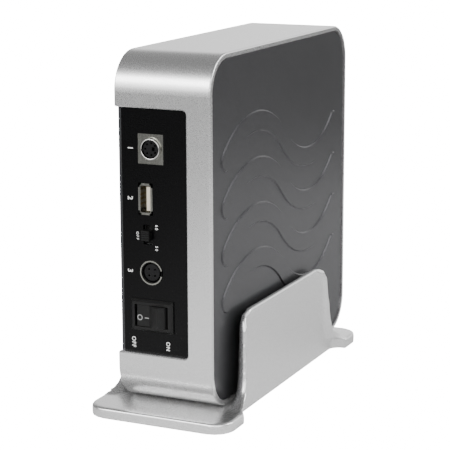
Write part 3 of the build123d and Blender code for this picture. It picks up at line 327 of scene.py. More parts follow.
# ---- Finishes ----------------------------------------------------------------------------
@dataclass(frozen=True)
class Finish:
    """One finish of the real object, and how its shader is set."""

    name: str
    colour: RGB
    texture: Texture
    scale: float
    bump: float = 0.15
    depth: float = 0.00002
    vary: float = 0.06
    drift: float = 0.05
    rough: float = 0.4
    rough_vary: float = 0.05
    metal: float = 0.0
    coat: float = 0.0
    coat_rough: float = 0.1
    ior: float = 1.5
    dust: float = 0.03
    scratch: float = 0.04
    second: RGB | None = None
    clear: float = 0.0

    def build(self, effects: Effects) -> bpy.types.Material:
        """Make the finish's material.

        Args:
            effects: The shared node groups.

        Returns:
            The material.
        """
        material = bpy.data.materials.new(self.name)
        material.use_nodes = True
        material.node_tree.nodes.clear()
        graph = Graph(material.node_tree)
        place = graph.add("TexCoord").outputs["Object"]
        close = graph.add("Group", node_tree=effects.groups[self.texture])
        far = graph.add("Group", node_tree=effects.drift)
        marks = graph.add("Group", node_tree=effects.wear)
        for node in (close, far, marks):
            graph.send(place, node.inputs[0])
        close.inputs[1].default_value = self.scale
        low = tuple(c * (1 - self.vary) for c in self.colour) + (1.0,)
        high = tuple(min(1.0, c * (1 + self.vary)) for c in (self.second or self.colour)) + (1.0,)
        base = graph.blend(close.outputs["Mask"], low, high)
        tone = graph.spread(far.outputs[0], 0, 1, (1 - self.drift, 1 + self.drift))
        tinted = graph.add("HueSaturation", {"Color": base, "Value": tone}).outputs[0]
        dust = graph.maths("MULTIPLY", marks.outputs["Dust"], self.dust)
        dusty = graph.blend(dust, tinted, DUST_COLOUR)
        between = (self.rough - self.rough_vary, self.rough + self.rough_vary)
        rough = graph.spread(close.outputs["Mask"], 0, 1, between)
        worn = graph.maths("MULTIPLY", marks.outputs["Scratches"], self.scratch)
        rough = graph.maths("ADD", rough, worn)
        height = close.outputs["Height"]
        bump = graph.add("Bump", {"Strength": self.bump, "Distance": self.depth, "Height": height})
        shader = graph.add("BsdfPrincipled", {
            "Base Color": dusty, "Roughness": rough, "Normal": bump.outputs[0], "Metallic": self.metal,
            "IOR": self.ior, "Coat Weight": self.coat, "Coat Roughness": self.coat_rough,
            "Transmission Weight": self.clear})
        graph.add("OutputMaterial", {"Surface": shader.outputs[0]})
        return material


FINISHES = (
    Finish("silver_paint", (0.80, 0.80, 0.80), Texture.FLECK, 5200, bump=0.004, vary=0.03, drift=0.01,
           rough=0.27, metal=0.9, coat=0.2, coat_rough=0.18, dust=0.02),
    Finish("gunmetal_paint", (0.070, 0.070, 0.074), Texture.FLECK, 5600, bump=0.02, vary=0.20, drift=0.04,
           rough=0.36, metal=0.75, coat=0.10, coat_rough=0.25, ior=1.3, dust=0.02),
    Finish("black_plastic", (0.0012, 0.0012, 0.0014), Texture.GRAIN, 3400, bump=0.08, rough=0.26, ior=1.27,
           dust=0.01),
    Finish("switch_black", (0.006, 0.006, 0.006), Texture.GRAIN, 2600, bump=0.2, rough=0.34, ior=1.36,
           dust=0.02),
    Finish("socket_black", (0.006, 0.006, 0.0065), Texture.GRAIN, 3000, bump=0.1, rough=0.38, ior=1.3,
           dust=0.01),
    Finish("pad_rubber", (0.020, 0.020, 0.021), Texture.GRAIN, 1500, bump=0.4, rough=0.75, drift=0.15,
           dust=0.2),
    Finish("bright_nickel", (0.36, 0.36, 0.33), Texture.BRUSHED, 1500, bump=0.08, vary=0.05, rough=0.22,
           metal=1.0),
    Finish("zinc_sheet", (0.50, 0.51, 0.52), Texture.BRUSHED, 700, bump=0.15, vary=0.12, drift=0.10,
           rough=0.38, metal=1.0),
    Finish("cast_aluminium", (0.38, 0.38, 0.39), Texture.CAST, 2200, bump=0.5, vary=0.08, rough=0.5,
           metal=1.0),
    Finish("drive_lid_steel", (0.40, 0.40, 0.41), Texture.BRUSHED, 1100, bump=0.10, vary=0.05, rough=0.27,
           metal=1.0),
    Finish("green_board", (0.004, 0.055, 0.018), Texture.TRACKS, 190, bump=0.12, depth=0.00003, vary=0.1,
           drift=0.04, rough=0.34, coat=0.15, ior=1.4, dust=0.01, second=(0.012, 0.125, 0.042)),
    Finish("chip_black", (0.018, 0.018, 0.019), Texture.GRAIN, 4200, bump=0.2, rough=0.55),
    Finish("sink_black", (0.012, 0.012, 0.013), Texture.CAST, 1800, bump=0.3, rough=0.48, metal=0.3),
    Finish("bright_can", (0.66, 0.66, 0.67), Texture.BRUSHED, 2400, bump=0.08, rough=0.25, metal=1.0),
    Finish("brass_plate", (0.50, 0.38, 0.20), Texture.BRUSHED, 1800, bump=0.1, rough=0.3, metal=1.0),
    Finish("screw_steel", (0.42, 0.42, 0.43), Texture.CAST, 2600, bump=0.25, rough=0.32, metal=1.0),
    Finish("smoked_window", (0.012, 0.004, 0.005), Texture.GRAIN, 1200, bump=0.03, rough=0.08, coat=0.6,
           coat_rough=0.04),
    Finish("clear_plastic", (0.72, 0.80, 0.84), Texture.GRAIN, 900, bump=0.05, vary=0.03, rough=0.18,
           coat=0.3, clear=0.35),
    Finish("cream_plastic", (0.66, 0.60, 0.48), Texture.GRAIN, 2400, bump=0.15, rough=0.42),
    Finish("brown_laminate", (0.20, 0.11, 0.055), Texture.CAST, 1500, bump=0.2, vary=0.15, rough=0.5),
    Finish("lead_insulation", (0.42, 0.02, 0.015), Texture.GRAIN, 1900, bump=0.1, rough=0.35),
    Finish("white_print", (0.80, 0.80, 0.79), Texture.CAST, 3200, bump=0.15, vary=0.04, rough=0.45),
    Finish("tinned_leg", (0.60, 0.60, 0.58), Texture.CAST, 4200, bump=0.2, vary=0.08, rough=0.3, metal=1.0),
    Finish("sleeve_blue", (0.012, 0.018, 0.040), Texture.GRAIN, 2000, bump=0.05, vary=0.1, rough=0.25,
           coat=0.3),
    Finish("rolled_edge", (0.78, 0.77, 0.74), Texture.BRUSHED, 2200, bump=0.05, vary=0.04, rough=0.18,
           metal=1.0),
    Finish("grey_print", (0.36, 0.36, 0.36), Texture.CAST, 3200, bump=0.15, vary=0.06, rough=0.5),
)


@dataclass
class Palette:
    """The built materials by name."""

    effects: Effects

    def __post_init__(self) -> None:
        """Build one material for each finish."""
        self.materials = {finish.name: finish.build(self.effects) for finish in FINISHES}

    def __getitem__(self, name: str) -> bpy.types.Material:
        """Look a material up.

        Args:
            name: The finish's name.

        Returns:
            Its material.
        """
        return self.materials[name]

    def dress(self, frame: dict) -> None:
        """Give every CAD node the finish of its slot.
        """
        for name, node in frame["nodes"].items():
            slot = next(p["material_slot"] for p in frame["record"]["subparts"] if p["node"] == name)
            for place in node.material_slots:
                place.material = self[slot]
            LOG.info("%s wears %s", name, slot)


# ---- Mesh helpers ------------------------------------------------------------------------
def leave_edit() -> None:
    """Go back to object mode."""
    bpy.ops.object.mode_set(mode="OBJECT")


def start_fresh() -> None:
    """Leave edit mode and deselect everything."""
    if bpy.context.object and bpy.context.object.mode != "OBJECT":
        leave_edit()
    bpy.ops.object.select_all(action="DESELECT")


def settle(piece: Piece) -> None:
    """Put a piece's place, turn and scale into its mesh.

    Args:
        piece: The object to settle.
    """
    piece.data.transform(piece.matrix_world)
    piece.matrix_world = Matrix.Identity(4)


def deliver(piece: Piece, name: str, body: Body, finish: str, palette: Palette) -> Piece:
    """Name a finished piece, give it its finish and let it ride on its body.

    Args:
        piece: The finished object.
        name: Its name.
        body: The body that carries it.
        finish: The finish it wears.
        palette: The built materials.

    Returns:
        The same object.
    """
    piece.name = name
    piece.data.name = name
    piece.data.materials.clear()
    piece.data.materials.append(palette[finish])
    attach(piece, body.value)
    LOG.info("%s rides on %s in %s, with %d faces", name, body.value, finish, len(piece.data.polygons))
    return piece


def pick(piece: Piece, test: Callable[[Vector], bool] = lambda p: True) -> None:
    """Go into edit mode with the points that pass a test selected, and the faces between them.

    Args:
        piece: The object to edit.
        test: Says of a point, in the piece's own space, whether it is wanted. Every point is, without it.
    """
    if bpy.context.mode != "EDIT_MESH":
        start_fresh()
        bpy.context.view_layer.objects.active = piece
        piece.select_set(True)
        bpy.ops.object.mode_set(mode="EDIT")
    bpy.ops.mesh.select_mode(type="VERT")
    mesh = bmesh.from_edit_mesh(piece.data)
    for point in mesh.verts:
        point.select = test(point.co)
    mesh.select_flush_mode()
    bmesh.update_edit_mesh(piece.data)


def pull(step: Triple) -> None:
    """Extrude what is selected.

    Args:
        step: How far and which way.
    """
    bpy.ops.mesh.extrude_region_move(TRANSFORM_OT_translate={"value": step})


def block(size: Triple) -> Piece:
    """Add a block about the origin and leave it in edit mode, all of it selected.

    Args:
        size: Its measures along X, Y and Z.

    Returns:
        The block.
    """
    start_fresh()
    bpy.ops.mesh.primitive_cube_add(size=1.0)
    piece = bpy.context.object
    pick(piece)
    bpy.ops.transform.resize(value=size)
    return piece


def disc(radius: float, depth: float, sides: int, height: float = 0.0) -> Piece:
    """Add an upright cylinder.

    Args:
        radius: Its radius.
        depth: Its length along Z.
        sides: How many sides it has.
        height: How high its middle lies.

    Returns:
        The cylinder.
    """
    start_fresh()
    bpy.ops.mesh.primitive_cylinder_add(vertices=sides, radius=radius, depth=depth, location=(0, 0, height))
    piece = bpy.context.object
    settle(piece)
    return piece


def apply_all(piece: Piece) -> None:
    """Apply every modifier of a piece, in order.

    Args:
        piece: The object.
    """
    start_fresh()
    bpy.context.view_layer.objects.active = piece
    piece.select_set(True)
    for modifier in list(piece.modifiers):
        bpy.ops.object.modifier_apply(modifier=modifier.name)


def round_off(piece: Piece, width: float, segments: int = 2, angle: float = SMOOTH_ANGLE) -> None:
    """Bevel a piece's sharp edges and shade it smooth between them.

    Args:
        piece: The object.
        width: The bevel's width.
        segments: Its segments.
        angle: Edges sharper than this, in degrees, are bevelled.
    """
    bevel = piece.modifiers.new("edges", "BEVEL")
    bevel.width, bevel.segments, bevel.limit_method = width, segments, "ANGLE"
    bevel.angle_limit = math.radians(angle)
    apply_all(piece)
    bpy.ops.object.shade_smooth_by_angle(angle=math.radians(angle))


def copy_of(piece: Piece, place: Matrix) -> Piece:
    """Copy a piece with its own mesh, and settle the copy.

    Args:
        piece: The pattern, at the origin.
        place: Where the copy goes.

    Returns:
        The copy.
    """
    copy = bpy.data.objects.new(piece.name, piece.data.copy())
    bpy.context.scene.collection.objects.link(copy)
    copy.data.transform(place)
    return copy


def joined(pieces: list[Piece]) -> Piece:
    """Join pieces into the first of them.

    Args:
        pieces: What to join.

    Returns:
        The joined object.
    """
    start_fresh()
    for piece in pieces:
        piece.select_set(True)
    bpy.context.view_layer.objects.active = pieces[0]
    if len(pieces) > 1:
        bpy.ops.object.join()
    return pieces[0]


# ---- Cradle ------------------------------------------------------------------------------
@dataclass
class CradleSkin:
    """The cradle as it leaves the mould, with soft edges and flares that run smoothly into the wings."""

    palette: Palette
    source: Piece
    voxel: float = 0.8 * MM
    softness: float = 0.5
    passes: int = 6
    crest_band: float = 0.5 * MM
    corner: float = 6.0 * MM
    corner_passes: int = 24
    foot_top: float = 7.5 * MM
    end_passes: int = 12

    def build(self) -> None:
        """Skin the frame's cradle, and round the top corners and the ends of its wings."""
        start_fresh()
        skin = copy_of(self.source, self.source.matrix_world)
        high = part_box("cradle")[1].z
        crest = [point.co.y for point in skin.data.vertices if point.co.z > high - self.crest_band]
        near, far = min(crest) + self.corner, max(crest) - self.corner
        weave = skin.modifiers.new("skin", "REMESH")
        weave.mode, weave.voxel_size = "VOXEL", self.voxel
        soft = skin.modifiers.new("soft", "SMOOTH")
        soft.iterations, soft.factor = self.passes, self.softness
        apply_all(skin)
        for above, passes in ((high - self.corner, self.corner_passes), (self.foot_top, self.end_passes)):
            pick(skin, lambda p, above=above: p.z > above and not near < p.y < far)
            bpy.ops.mesh.vertices_smooth(factor=self.softness, repeat=passes)
        leave_edit()
        bpy.ops.object.shade_smooth()
        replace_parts(deliver(skin, "cradle_skin", Body.STAND, "silver_paint", self.palette), "cradle")


# ---- Screws ------------------------------------------------------------------------------
@dataclass(frozen=True)
class ScrewKind:
    """One size of cross-recessed pan-head screw, in millimetres."""

    node: str
    head: float
    rise: float
    shank: float
    reach: float


@dataclass
class CrossScrews:
    """Cross-recessed screws in place of the frame's plain ones.

    The shapes of crown, rim, edge and bar are shares of the head's radius, or of its height along the screw.
    """

    palette: Palette
    drive: ScrewKind = ScrewKind("drive_screws", 3.0, 1.9, 1.7, 5.9)
    panel: ScrewKind = ScrewKind("panel_screws", 1.6, 1.3, 0.9, 3.2)
    board: ScrewKind = ScrewKind("board_screws", 1.6, 1.2, 0.95, 4.3)
    crown_inset: float = 0.32
    crown_drop: float = 0.38
    rim: float = 0.9
    edge: float = 0.05
    bar_size: Triple = (1.25, 0.26, 1.1)
    bar_foot: Triple = (0.45, 0.7, 1.0)
    twist: float = 0.5

    def pattern(self, kind: ScrewKind) -> Piece:
        """Turn one screw with its head's top at the origin, pointing down.

        Args:
            kind: Its size.

        Returns:
            The screw.
        """
        head, rise = kind.head * MM, kind.rise * MM
        screw = disc(head, rise, ROUND_SIDES, -rise / 2)
        pick(screw, lambda p: p.z > -rise / 2)
        bpy.ops.mesh.inset(thickness=head * self.crown_inset)
        pick(screw, lambda p: p.z > -rise / 2 and p.to_2d().length > head * self.rim)
        bpy.ops.transform.translate(value=(0, 0, -rise * self.crown_drop))
        pick(screw, lambda p: p.z < -rise * self.rim)
        bpy.ops.mesh.inset(thickness=head - kind.shank * MM)
        pull((0, 0, -kind.reach * MM))
        round_off(screw, head * self.edge, 3, FINE_ANGLE)
        for turn in (0.0, 90.0):
            slot = self.slot(head, rise, turn)
            cut = screw.modifiers.new("recess", "BOOLEAN")
            cut.operation, cut.object = "DIFFERENCE", slot
            apply_all(screw)
            bpy.data.objects.remove(slot)
        bpy.ops.object.shade_smooth_by_angle(angle=math.radians(SMOOTH_ANGLE))
        return screw

    def slot(self, head: float, rise: float, turn: float) -> Piece:
        """Make the cutter for one bar of the cross, narrowing downwards.

        Args:
            head: The head's radius.
            rise: The head's height.
            turn: The bar's direction, in degrees.

        Returns:
            The cutter.
        """
        bar = block((head * self.bar_size[0], head * self.bar_size[1], rise * self.bar_size[2]))
        pick(bar, lambda p: p.z < 0)
        bpy.ops.transform.resize(value=self.bar_foot)
        leave_edit()
        bar.data.transform(Matrix.Rotation(math.radians(turn), 4, "Z"))
        return bar

    def build(self) -> None:
        """Drive every screw where the frame has one."""
        down, left = Matrix.Rotation(math.pi, 4, "X"), Matrix.Rotation(-math.pi / 2, 4, "Y")
        for kind in (self.drive, self.panel, self.board):
            low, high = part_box(kind.node)
            wide = kind.head * MM
            pattern = self.pattern(kind)
            spots = []
            if kind is self.board:
                for y in (low.y + wide, high.y - wide):
                    spots += [((low.x, y, z), left) for z in (low.z + wide, high.z - wide)]
            else:
                rows = (low.y + wide, high.y - wide) if kind is self.drive else (low.y + wide,)
                for y in rows:
                    x = low.x + wide
                    spots += [((x, y, low.z), down), ((x, y, high.z), Matrix.Identity(4))]
            for number, (spot, turn) in enumerate(spots, 1):
                twist = Matrix.Rotation(self.twist * number, 4, "Z")
                screw = copy_of(pattern, Matrix.Translation(spot) @ turn @ twist)
                deliver(screw, f"{kind.node}_{number}", Body.DRAWER, "screw_steel", self.palette)
                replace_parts(screw, kind.node)
            bpy.data.objects.remove(pattern)


# ---- Circuit boards ----------------------------------------------------------------------
@dataclass(frozen=True)
class Chip:
    """A chip that gets legs: where it sits on its board, its size and its legs, in millimetres."""

    name: str
    place: Span
    size: Span
    pitch: float
    sides: tuple[str, ...]


@dataclass(frozen=True)
class LegShape:
    """How a chip's leg is bent, in millimetres: out of the chip, down a slope and flat on the board."""

    thick: float = 0.14
    stub: float = 0.3
    pitch_share: float = 0.45
    knee: float = 0.1
    drop: float = 0.56
    slope: float = 0.22
    foot: float = 0.5
    rise: float = 0.64
    bare_corners: float = 1.0


@dataclass(frozen=True)
class SurfacePart:
    """A small surface part with two tinned ends, in millimetres."""

    body: Triple = (0.5, 1.5, 0.9)
    lid_inset: float = 0.08
    lid_rise: float = 0.05
    body_edge: float = 0.03
    end: Triple = (0.58, 0.3, 0.98)
    end_reach: float = 0.08
    end_taper: Triple = (0.8, 1.0, 0.85)
    end_place: float = 0.75
    end_edge: float = 0.04
    pitch: float = 1.7
    rise: float = 0.27


@dataclass(frozen=True)
class SolderJoint:
    """A soldered joint with its pin's end, in millimetres: a disc, then an inset and a rise for each step."""

    radius: float = 0.85
    depth: float = 0.24
    sides: int = 24
    steps: tuple[Span, ...] = ((0.3, 0.18), (0.2, 0.2))
    pin: float = 0.3
    edge: float = 0.05
    lift: float = 0.1


@dataclass(frozen=True)
class Sleeve:
    """A capacitor's shrunk sleeve, in millimetres, turned in over the top that it leaves bare."""

    count: int = 3
    wall: float = 0.07
    height: float = 6.3
    lap: float = 0.25
    lap_rise: float = 0.12
    lid: float = 0.5
    lid_sink: float = 0.2
    edge: float = 0.08
    lift: float = 0.15


@dataclass
class BoardParts:
    """Legs, small surface parts and sleeves on the two circuit boards."""

    palette: Palette
    leg: LegShape = LegShape()
    part: SurfacePart = SurfacePart()
    joint: SolderJoint = SolderJoint()
    sleeve: Sleeve = Sleeve()
    main_face: float = 9.8
    drive_face: float = 4.5
    capacitor_pins: tuple[tuple[float, ...], ...] = ((-68.3, -65.8), (63.0, 71.0, 79.0))
    crystal_pins: tuple[tuple[float, ...], ...] = ((-14.7, -9.8), (110.1,))
    dock_pitch: float = 2.54
    dock_rows: Span = (1.6, 4.1)
    main_chips: tuple[Chip, ...] = (
        Chip("processor", (-26.25, 80.1), (20, 20), 0.8, FOUR_SIDES),
        Chip("memory_upper", (3.75, 98.1), (22, 10), 0.8, TWO_SIDES),
        Chip("memory_lower", (3.75, 78.1), (22, 10), 0.8, TWO_SIDES),
        Chip("bridge_chip", (33.75, 110.1), (14, 14), 0.8, FOUR_SIDES),
        Chip("driver_chip", (29.75, 62.1), (10, 8), 1.27, TWO_SIDES),
        Chip("codec_chip", (-44.25, 124.1), (9, 9), 0.8, FOUR_SIDES),
    )
    drive_chips: tuple[Chip, ...] = (
        Chip("drive_controller", (-30.75, 78.1), (16, 16), 0.8, FOUR_SIDES),
        Chip("drive_memory", (-26.75, 108.1), (12, 9), 0.8, TWO_SIDES),
        Chip("motor_driver", (1.25, 64.1), (9, 9), 0.8, TWO_SIDES),
    )
    small_rows: tuple[tuple[float, float, int, str], ...] = (
        (-8.0, 66.0, 6, "back"), (-40.0, 100.0, 5, "up"), (18.0, 84.0, 5, "up"), (22.0, 122.0, 6, "back"),
        (40.0, 92.0, 5, "up"), (44.0, 70.0, 7, "back"), (-20.0, 54.0, 6, "back"), (52.0, 108.0, 4, "up"),
        (-30.0, 128.0, 5, "back"), (60.0, 84.0, 4, "up"), (6.0, 46.0, 5, "back"), (36.0, 46.0, 5, "back"),
    )

    def row(self, chip: Chip, side: str, face: float, toward: float) -> Piece:
        """Bend one leg and repeat it along one side of a chip.

        Args:
            chip: The chip.
            side: Which of its sides.
            face: The board's face, across the product.
            toward: 1 where the board lies towards +X from the chip, else -1.

        Returns:
            The row of legs, in place.
        """
        out, along = chip.size if side in ("front", "back") else chip.size[::-1]
        shape = self.leg
        leg = block((shape.thick * MM, shape.stub * MM, chip.pitch * shape.pitch_share * MM))
        pick(leg, lambda p: p.y > 0)
        pull((0, shape.knee * MM, 0))
        pull((toward * shape.drop * MM, shape.slope * MM, 0))
        pull((0, shape.foot * MM, 0))
        leave_edit()
        count = int((along - shape.bare_corners) / chip.pitch)
        rows = leg.modifiers.new("row", "ARRAY")
        rows.count, rows.use_relative_offset, rows.use_constant_offset = count, False, True
        rows.constant_offset_displace = (0, 0, chip.pitch * MM)
        apply_all(leg)
        turn = {"back": 0.0, "up": 90.0, "front": 180.0, "down": 270.0}[side]
        centre = Matrix.Translation((0, out / 2 * MM, -(count - 1) * chip.pitch * MM / 2))
        spot = ((face - toward * shape.rise) * MM, chip.place[0] * MM, chip.place[1] * MM)
        leg.data.transform(Matrix.Translation(spot) @ Matrix.Rotation(math.radians(turn), 4, "X") @ centre)
        return leg

    def legs(self) -> None:
        """Give every chip its legs."""
        boards = ((self.main_chips, self.main_face, 1.0), (self.drive_chips, self.drive_face, -1.0))
        for chips, face, toward in boards:
            for chip in chips:
                piece = joined([self.row(chip, side, face, toward) for side in chip.sides])
                deliver(piece, f"legs_of_{chip.name}", Body.DRAWER, "tinned_leg", self.palette)

    def chip_part(self) -> tuple[Piece, Piece]:
        """Mould one small surface part along Y.

        Returns:
            Its body, and its two tinned ends as one piece.
        """
        shape = self.part
        body = block(tuple(side * MM for side in shape.body))
        pick(body, lambda p: p.x < 0)
        bpy.ops.mesh.inset(thickness=shape.lid_inset * MM)
        pull((-shape.lid_rise * MM, 0, 0))
        round_off(body, shape.body_edge * MM)
        ends = []
        for side in (-1, 1):
            end = block(tuple(measure * MM for measure in shape.end))
            pick(end, lambda p, side=side: p.y * side > 0)
            pull((0, side * shape.end_reach * MM, 0))
            bpy.ops.transform.resize(value=shape.end_taper)
            leave_edit()
            end.data.transform(Matrix.Translation((0, side * shape.end_place * MM, 0)))
            ends.append(end)
        end = joined(ends)
        round_off(end, shape.end_edge * MM)
        return body, end

    def small_parts(self) -> None:
        """Lay rows of small surface parts on the main board."""
        body, end = self.chip_part()
        bodies, ends = [], []
        for y, z, count, way in self.small_rows:
            turn = Matrix.Rotation(math.pi / 2, 4, "X") if way == "back" else Matrix.Identity(4)
            for number in range(count):
                step = self.part.pitch * number
                along, up = (y + step, z) if way == "back" else (y, z + step)
                out = self.main_face - self.part.rise
                place = Matrix.Translation((out * MM, along * MM, up * MM)) @ turn
                bodies.append(copy_of(body, place))
                ends.append(copy_of(end, place))
        bpy.data.objects.remove(body)
        bpy.data.objects.remove(end)
        deliver(joined(bodies), "surface_parts", Body.DRAWER, "chip_black", self.palette)
        deliver(joined(ends), "surface_part_ends", Body.DRAWER, "tinned_leg", self.palette)

    def joints(self) -> None:
        """Leave a soldered joint on the main board's back behind each pin."""
        shape = self.joint
        joint = disc(shape.radius * MM, shape.depth * MM, shape.sides)
        pick(joint, lambda p: p.z > 0)
        for inset, rise in shape.steps:
            bpy.ops.mesh.inset(thickness=inset * MM)
            bpy.ops.transform.translate(value=(0, 0, rise * MM))
        pull((0, 0, shape.pin * MM))
        round_off(joint, shape.edge * MM, 2, FINE_ANGLE)
        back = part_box("main_board")[1].x
        low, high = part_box("dock_socket")
        pins = (self.capacitor_pins, self.crystal_pins)
        spots = [(y * MM, z * MM) for across, up in pins for y in across for z in up]
        count = int((high.z - low.z) / (self.dock_pitch * MM))
        for number in range(count):
            z = (low.z + high.z) / 2 + (number - (count - 1) / 2) * self.dock_pitch * MM
            spots += [(low.y + row * MM, z) for row in self.dock_rows]
        turn = Matrix.Rotation(math.pi / 2, 4, "Y")
        out = back + shape.lift * MM
        joints = [copy_of(joint, Matrix.Translation((out, y, z)) @ turn) for y, z in spots]
        bpy.data.objects.remove(joint)
        deliver(joined(joints), "soldered_joints", Body.DRAWER, "tinned_leg", self.palette)

    def sleeves(self) -> None:
        """Pull a shrunk sleeve over each capacitor, turned in over its top."""
        shape = self.sleeve
        low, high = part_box("capacitors")
        radius = (high.y - low.y) / 2
        for number in range(shape.count):
            z = low.z + radius + number * (high.z - low.z - 2 * radius) / (shape.count - 1)
            sleeve = disc(radius + shape.wall * MM, shape.height * MM, ROUND_SIDES)
            pick(sleeve, lambda p: p.z > 0)
            bpy.ops.mesh.inset(thickness=shape.lap * MM)
            bpy.ops.transform.translate(value=(0, 0, shape.lap_rise * MM))
            bpy.ops.mesh.inset(thickness=shape.lid * MM)
            pull((0, 0, -shape.lid_sink * MM))
            round_off(sleeve, shape.edge * MM, 3)
            middle = Vector(((low.x + high.x) / 2 + shape.lift * MM, (low.y + high.y) / 2, z))
            sleeve.data.transform(Matrix.Translation(middle) @ Matrix.Rotation(-math.pi / 2, 4, "Y"))
            deliver(sleeve, f"capacitor_sleeve_{number + 1}", Body.DRAWER, "sleeve_blue", self.palette)

    def build(self) -> None:
        """Populate both boards."""
        self.legs()
        self.joints()
        self.small_parts()
        self.sleeves()


# ---- Socket trim -------------------------------------------------------------------------
@dataclass
class SocketTrim:
    """The bright rolled lip round the signal socket's black core."""

    palette: Palette
    lip: float = 0.28 * MM
    reach: float = 0.35 * MM
    cut: float = 0.1
    flatness: float = 0.7
    rounds: tuple[int, int] = (96, 20)
    smooth_angle: float = 40.0

    def build(self) -> None:
        """Roll the lip and flatten its back against the plate."""
        low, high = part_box("av_socket_core")
        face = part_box("av_socket_shell")[0].y
        radius = (high.x - low.x) / 2 + self.reach
        start_fresh()
        bpy.ops.mesh.primitive_torus_add(major_segments=self.rounds[0], minor_segments=self.rounds[1],
                                         major_radius=radius, minor_radius=self.lip)
        ring = bpy.context.object
        settle(ring)
        pick(ring)
        bpy.ops.mesh.bisect(plane_co=(0, 0, -self.lip * self.cut), plane_no=(0, 0, 1), clear_inner=True,
                            use_fill=False)
        pick(ring)
        bpy.ops.transform.resize(value=(1, 1, self.flatness))
        leave_edit()
        bpy.ops.object.shade_smooth_by_angle(angle=math.radians(self.smooth_angle))
        middle = Vector(((low.x + high.x) / 2, face, (low.z + high.z) / 2))
        ring.data.transform(Matrix.Translation(middle) @ Matrix.Rotation(math.pi / 2, 4, "X"))
        deliver(ring, "av_socket_lip", Body.DRAWER, "rolled_edge", self.palette)


# ---- Panel lettering ---------------------------------------------------------------------
@dataclass
class PanelPrint:
    """White words and numbers printed on the connector panel and moulded on the rocker.

    The words are generic: ON, OFF, numbers, and the marks O and I. Letters run downwards.
    """

    palette: Palette
    thick: float = 0.06 * MM
    size_for_capitals: float = 1.38
    rocker_face: float = -77.65
    rocker_height: float = 48.1

    def word(self, text: str, size: float, place: Vector, bold: float, space: float = 1.1) -> Piece:
        """Print one word, running downwards with its letter tops to the right.

        Args:
            text: What it says.
            size: Height of its capitals.
            place: Its middle, on the face that it is printed on.
            bold: How much its strokes are widened.
            space: Space between letters, against the font's own.

        Returns:
            The word's mesh, in place.
        """
        start_fresh()
        bpy.ops.object.text_add(location=(0, 0, 0))
        piece = bpy.context.object
        piece.data.body = text
        piece.data.size = size * self.size_for_capitals
        piece.data.align_x, piece.data.align_y = "CENTER", "CENTER"
        piece.data.space_character = space
        piece.data.offset = bold
        piece.data.extrude = self.thick / 2
        bpy.ops.object.convert(target="MESH")
        turn = Matrix.Rotation(math.radians(90), 4, "X") @ Matrix.Rotation(math.radians(-90), 4, "Z")
        piece.matrix_world = Matrix.Translation(place + Vector((0, -self.thick / 2, 0))) @ turn
        settle(piece)
        return piece

    def build(self) -> None:
        """Print every word of the panel, and fill the two marks moulded in the rocker."""
        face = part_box("connector_panel")[0].y
        rows = (
            ("print_one", "1", 2.6, -17.1, self.middle("av_socket_shell"), 0.06, 1.1),
            ("print_two", "2", 2.6, -17.5, self.middle("usb_socket_shell"), 0.06, 1.1),
            ("print_three", "3", 2.6, -18.1, self.middle("supply_socket_ring"), 0.06, 1.1),
            ("print_mode_off", "OFF", 1.3, -14.0, 86.3, 0.02, 1.35),
            ("print_mode_up", "60", 1.35, -4.2, 90.9, 0.02, 1.5),
            ("print_mode_down", "50", 1.35, -4.3, 81.1, 0.02, 1.5),
            ("print_off", "OFF", 2.0, -16.8, 35.6, 0.04, 1.15),
            ("print_on", "ON", 1.9, 0.95, 35.3, 0.04, 1.15),
        )
        for name, text, size, x, z, bold, space in rows:
            piece = self.word(text, size * MM, Vector((x * MM, face, z * MM)), bold * MM, space)
            deliver(piece, name, Body.DRAWER, "white_print", self.palette)
        for name, text, size, x in (("rocker_mark_off", "O", 2.7, -12.8), ("rocker_mark_on", "I", 2.3, -9.2)):
            place = Vector((x, self.rocker_face, self.rocker_height)) * MM
            piece = self.word(text, size * MM, place, 0.0)
            deliver(piece, name, Body.ROCKER, "grey_print", self.palette)

    @staticmethod
    def middle(node: str) -> float:
        """Find a node's middle height.

        Args:
            node: The CAD node.

        Returns:
            The height in millimetres.
        """
        low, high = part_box(node)
        return (low.z + high.z) / 2 / MM


# ---- Studio ------------------------------------------------------------------------------
def grey(tone: float) -> tuple[float, float, float, float]:
    """Return an opaque grey.

    Args:
        tone: 0 for black, 1 for white.

    Returns:
        The colour with its alpha.
    """
    return (tone, tone, tone, 1.0)


@dataclass(frozen=True)
class Lamp:
    """One soft area light: where it hangs, what it points at and its face, in metres, and its watts."""

    name: str
    place: Triple
    aim: Triple
    size: Span
    power: float

    def hang(self) -> None:
        """Add the light to the scene."""
        data = bpy.data.lights.new(self.name, "AREA")
        data.shape = "RECTANGLE"
        data.size, data.size_y = self.size
        data.energy = self.power
        light = bpy.data.objects.new(self.name, data)
        bpy.context.scene.collection.objects.link(light)
        light.location = self.place
        light.rotation_euler = (Vector(self.aim) - Vector(self.place)).to_track_quat("-Z", "Y").to_euler()


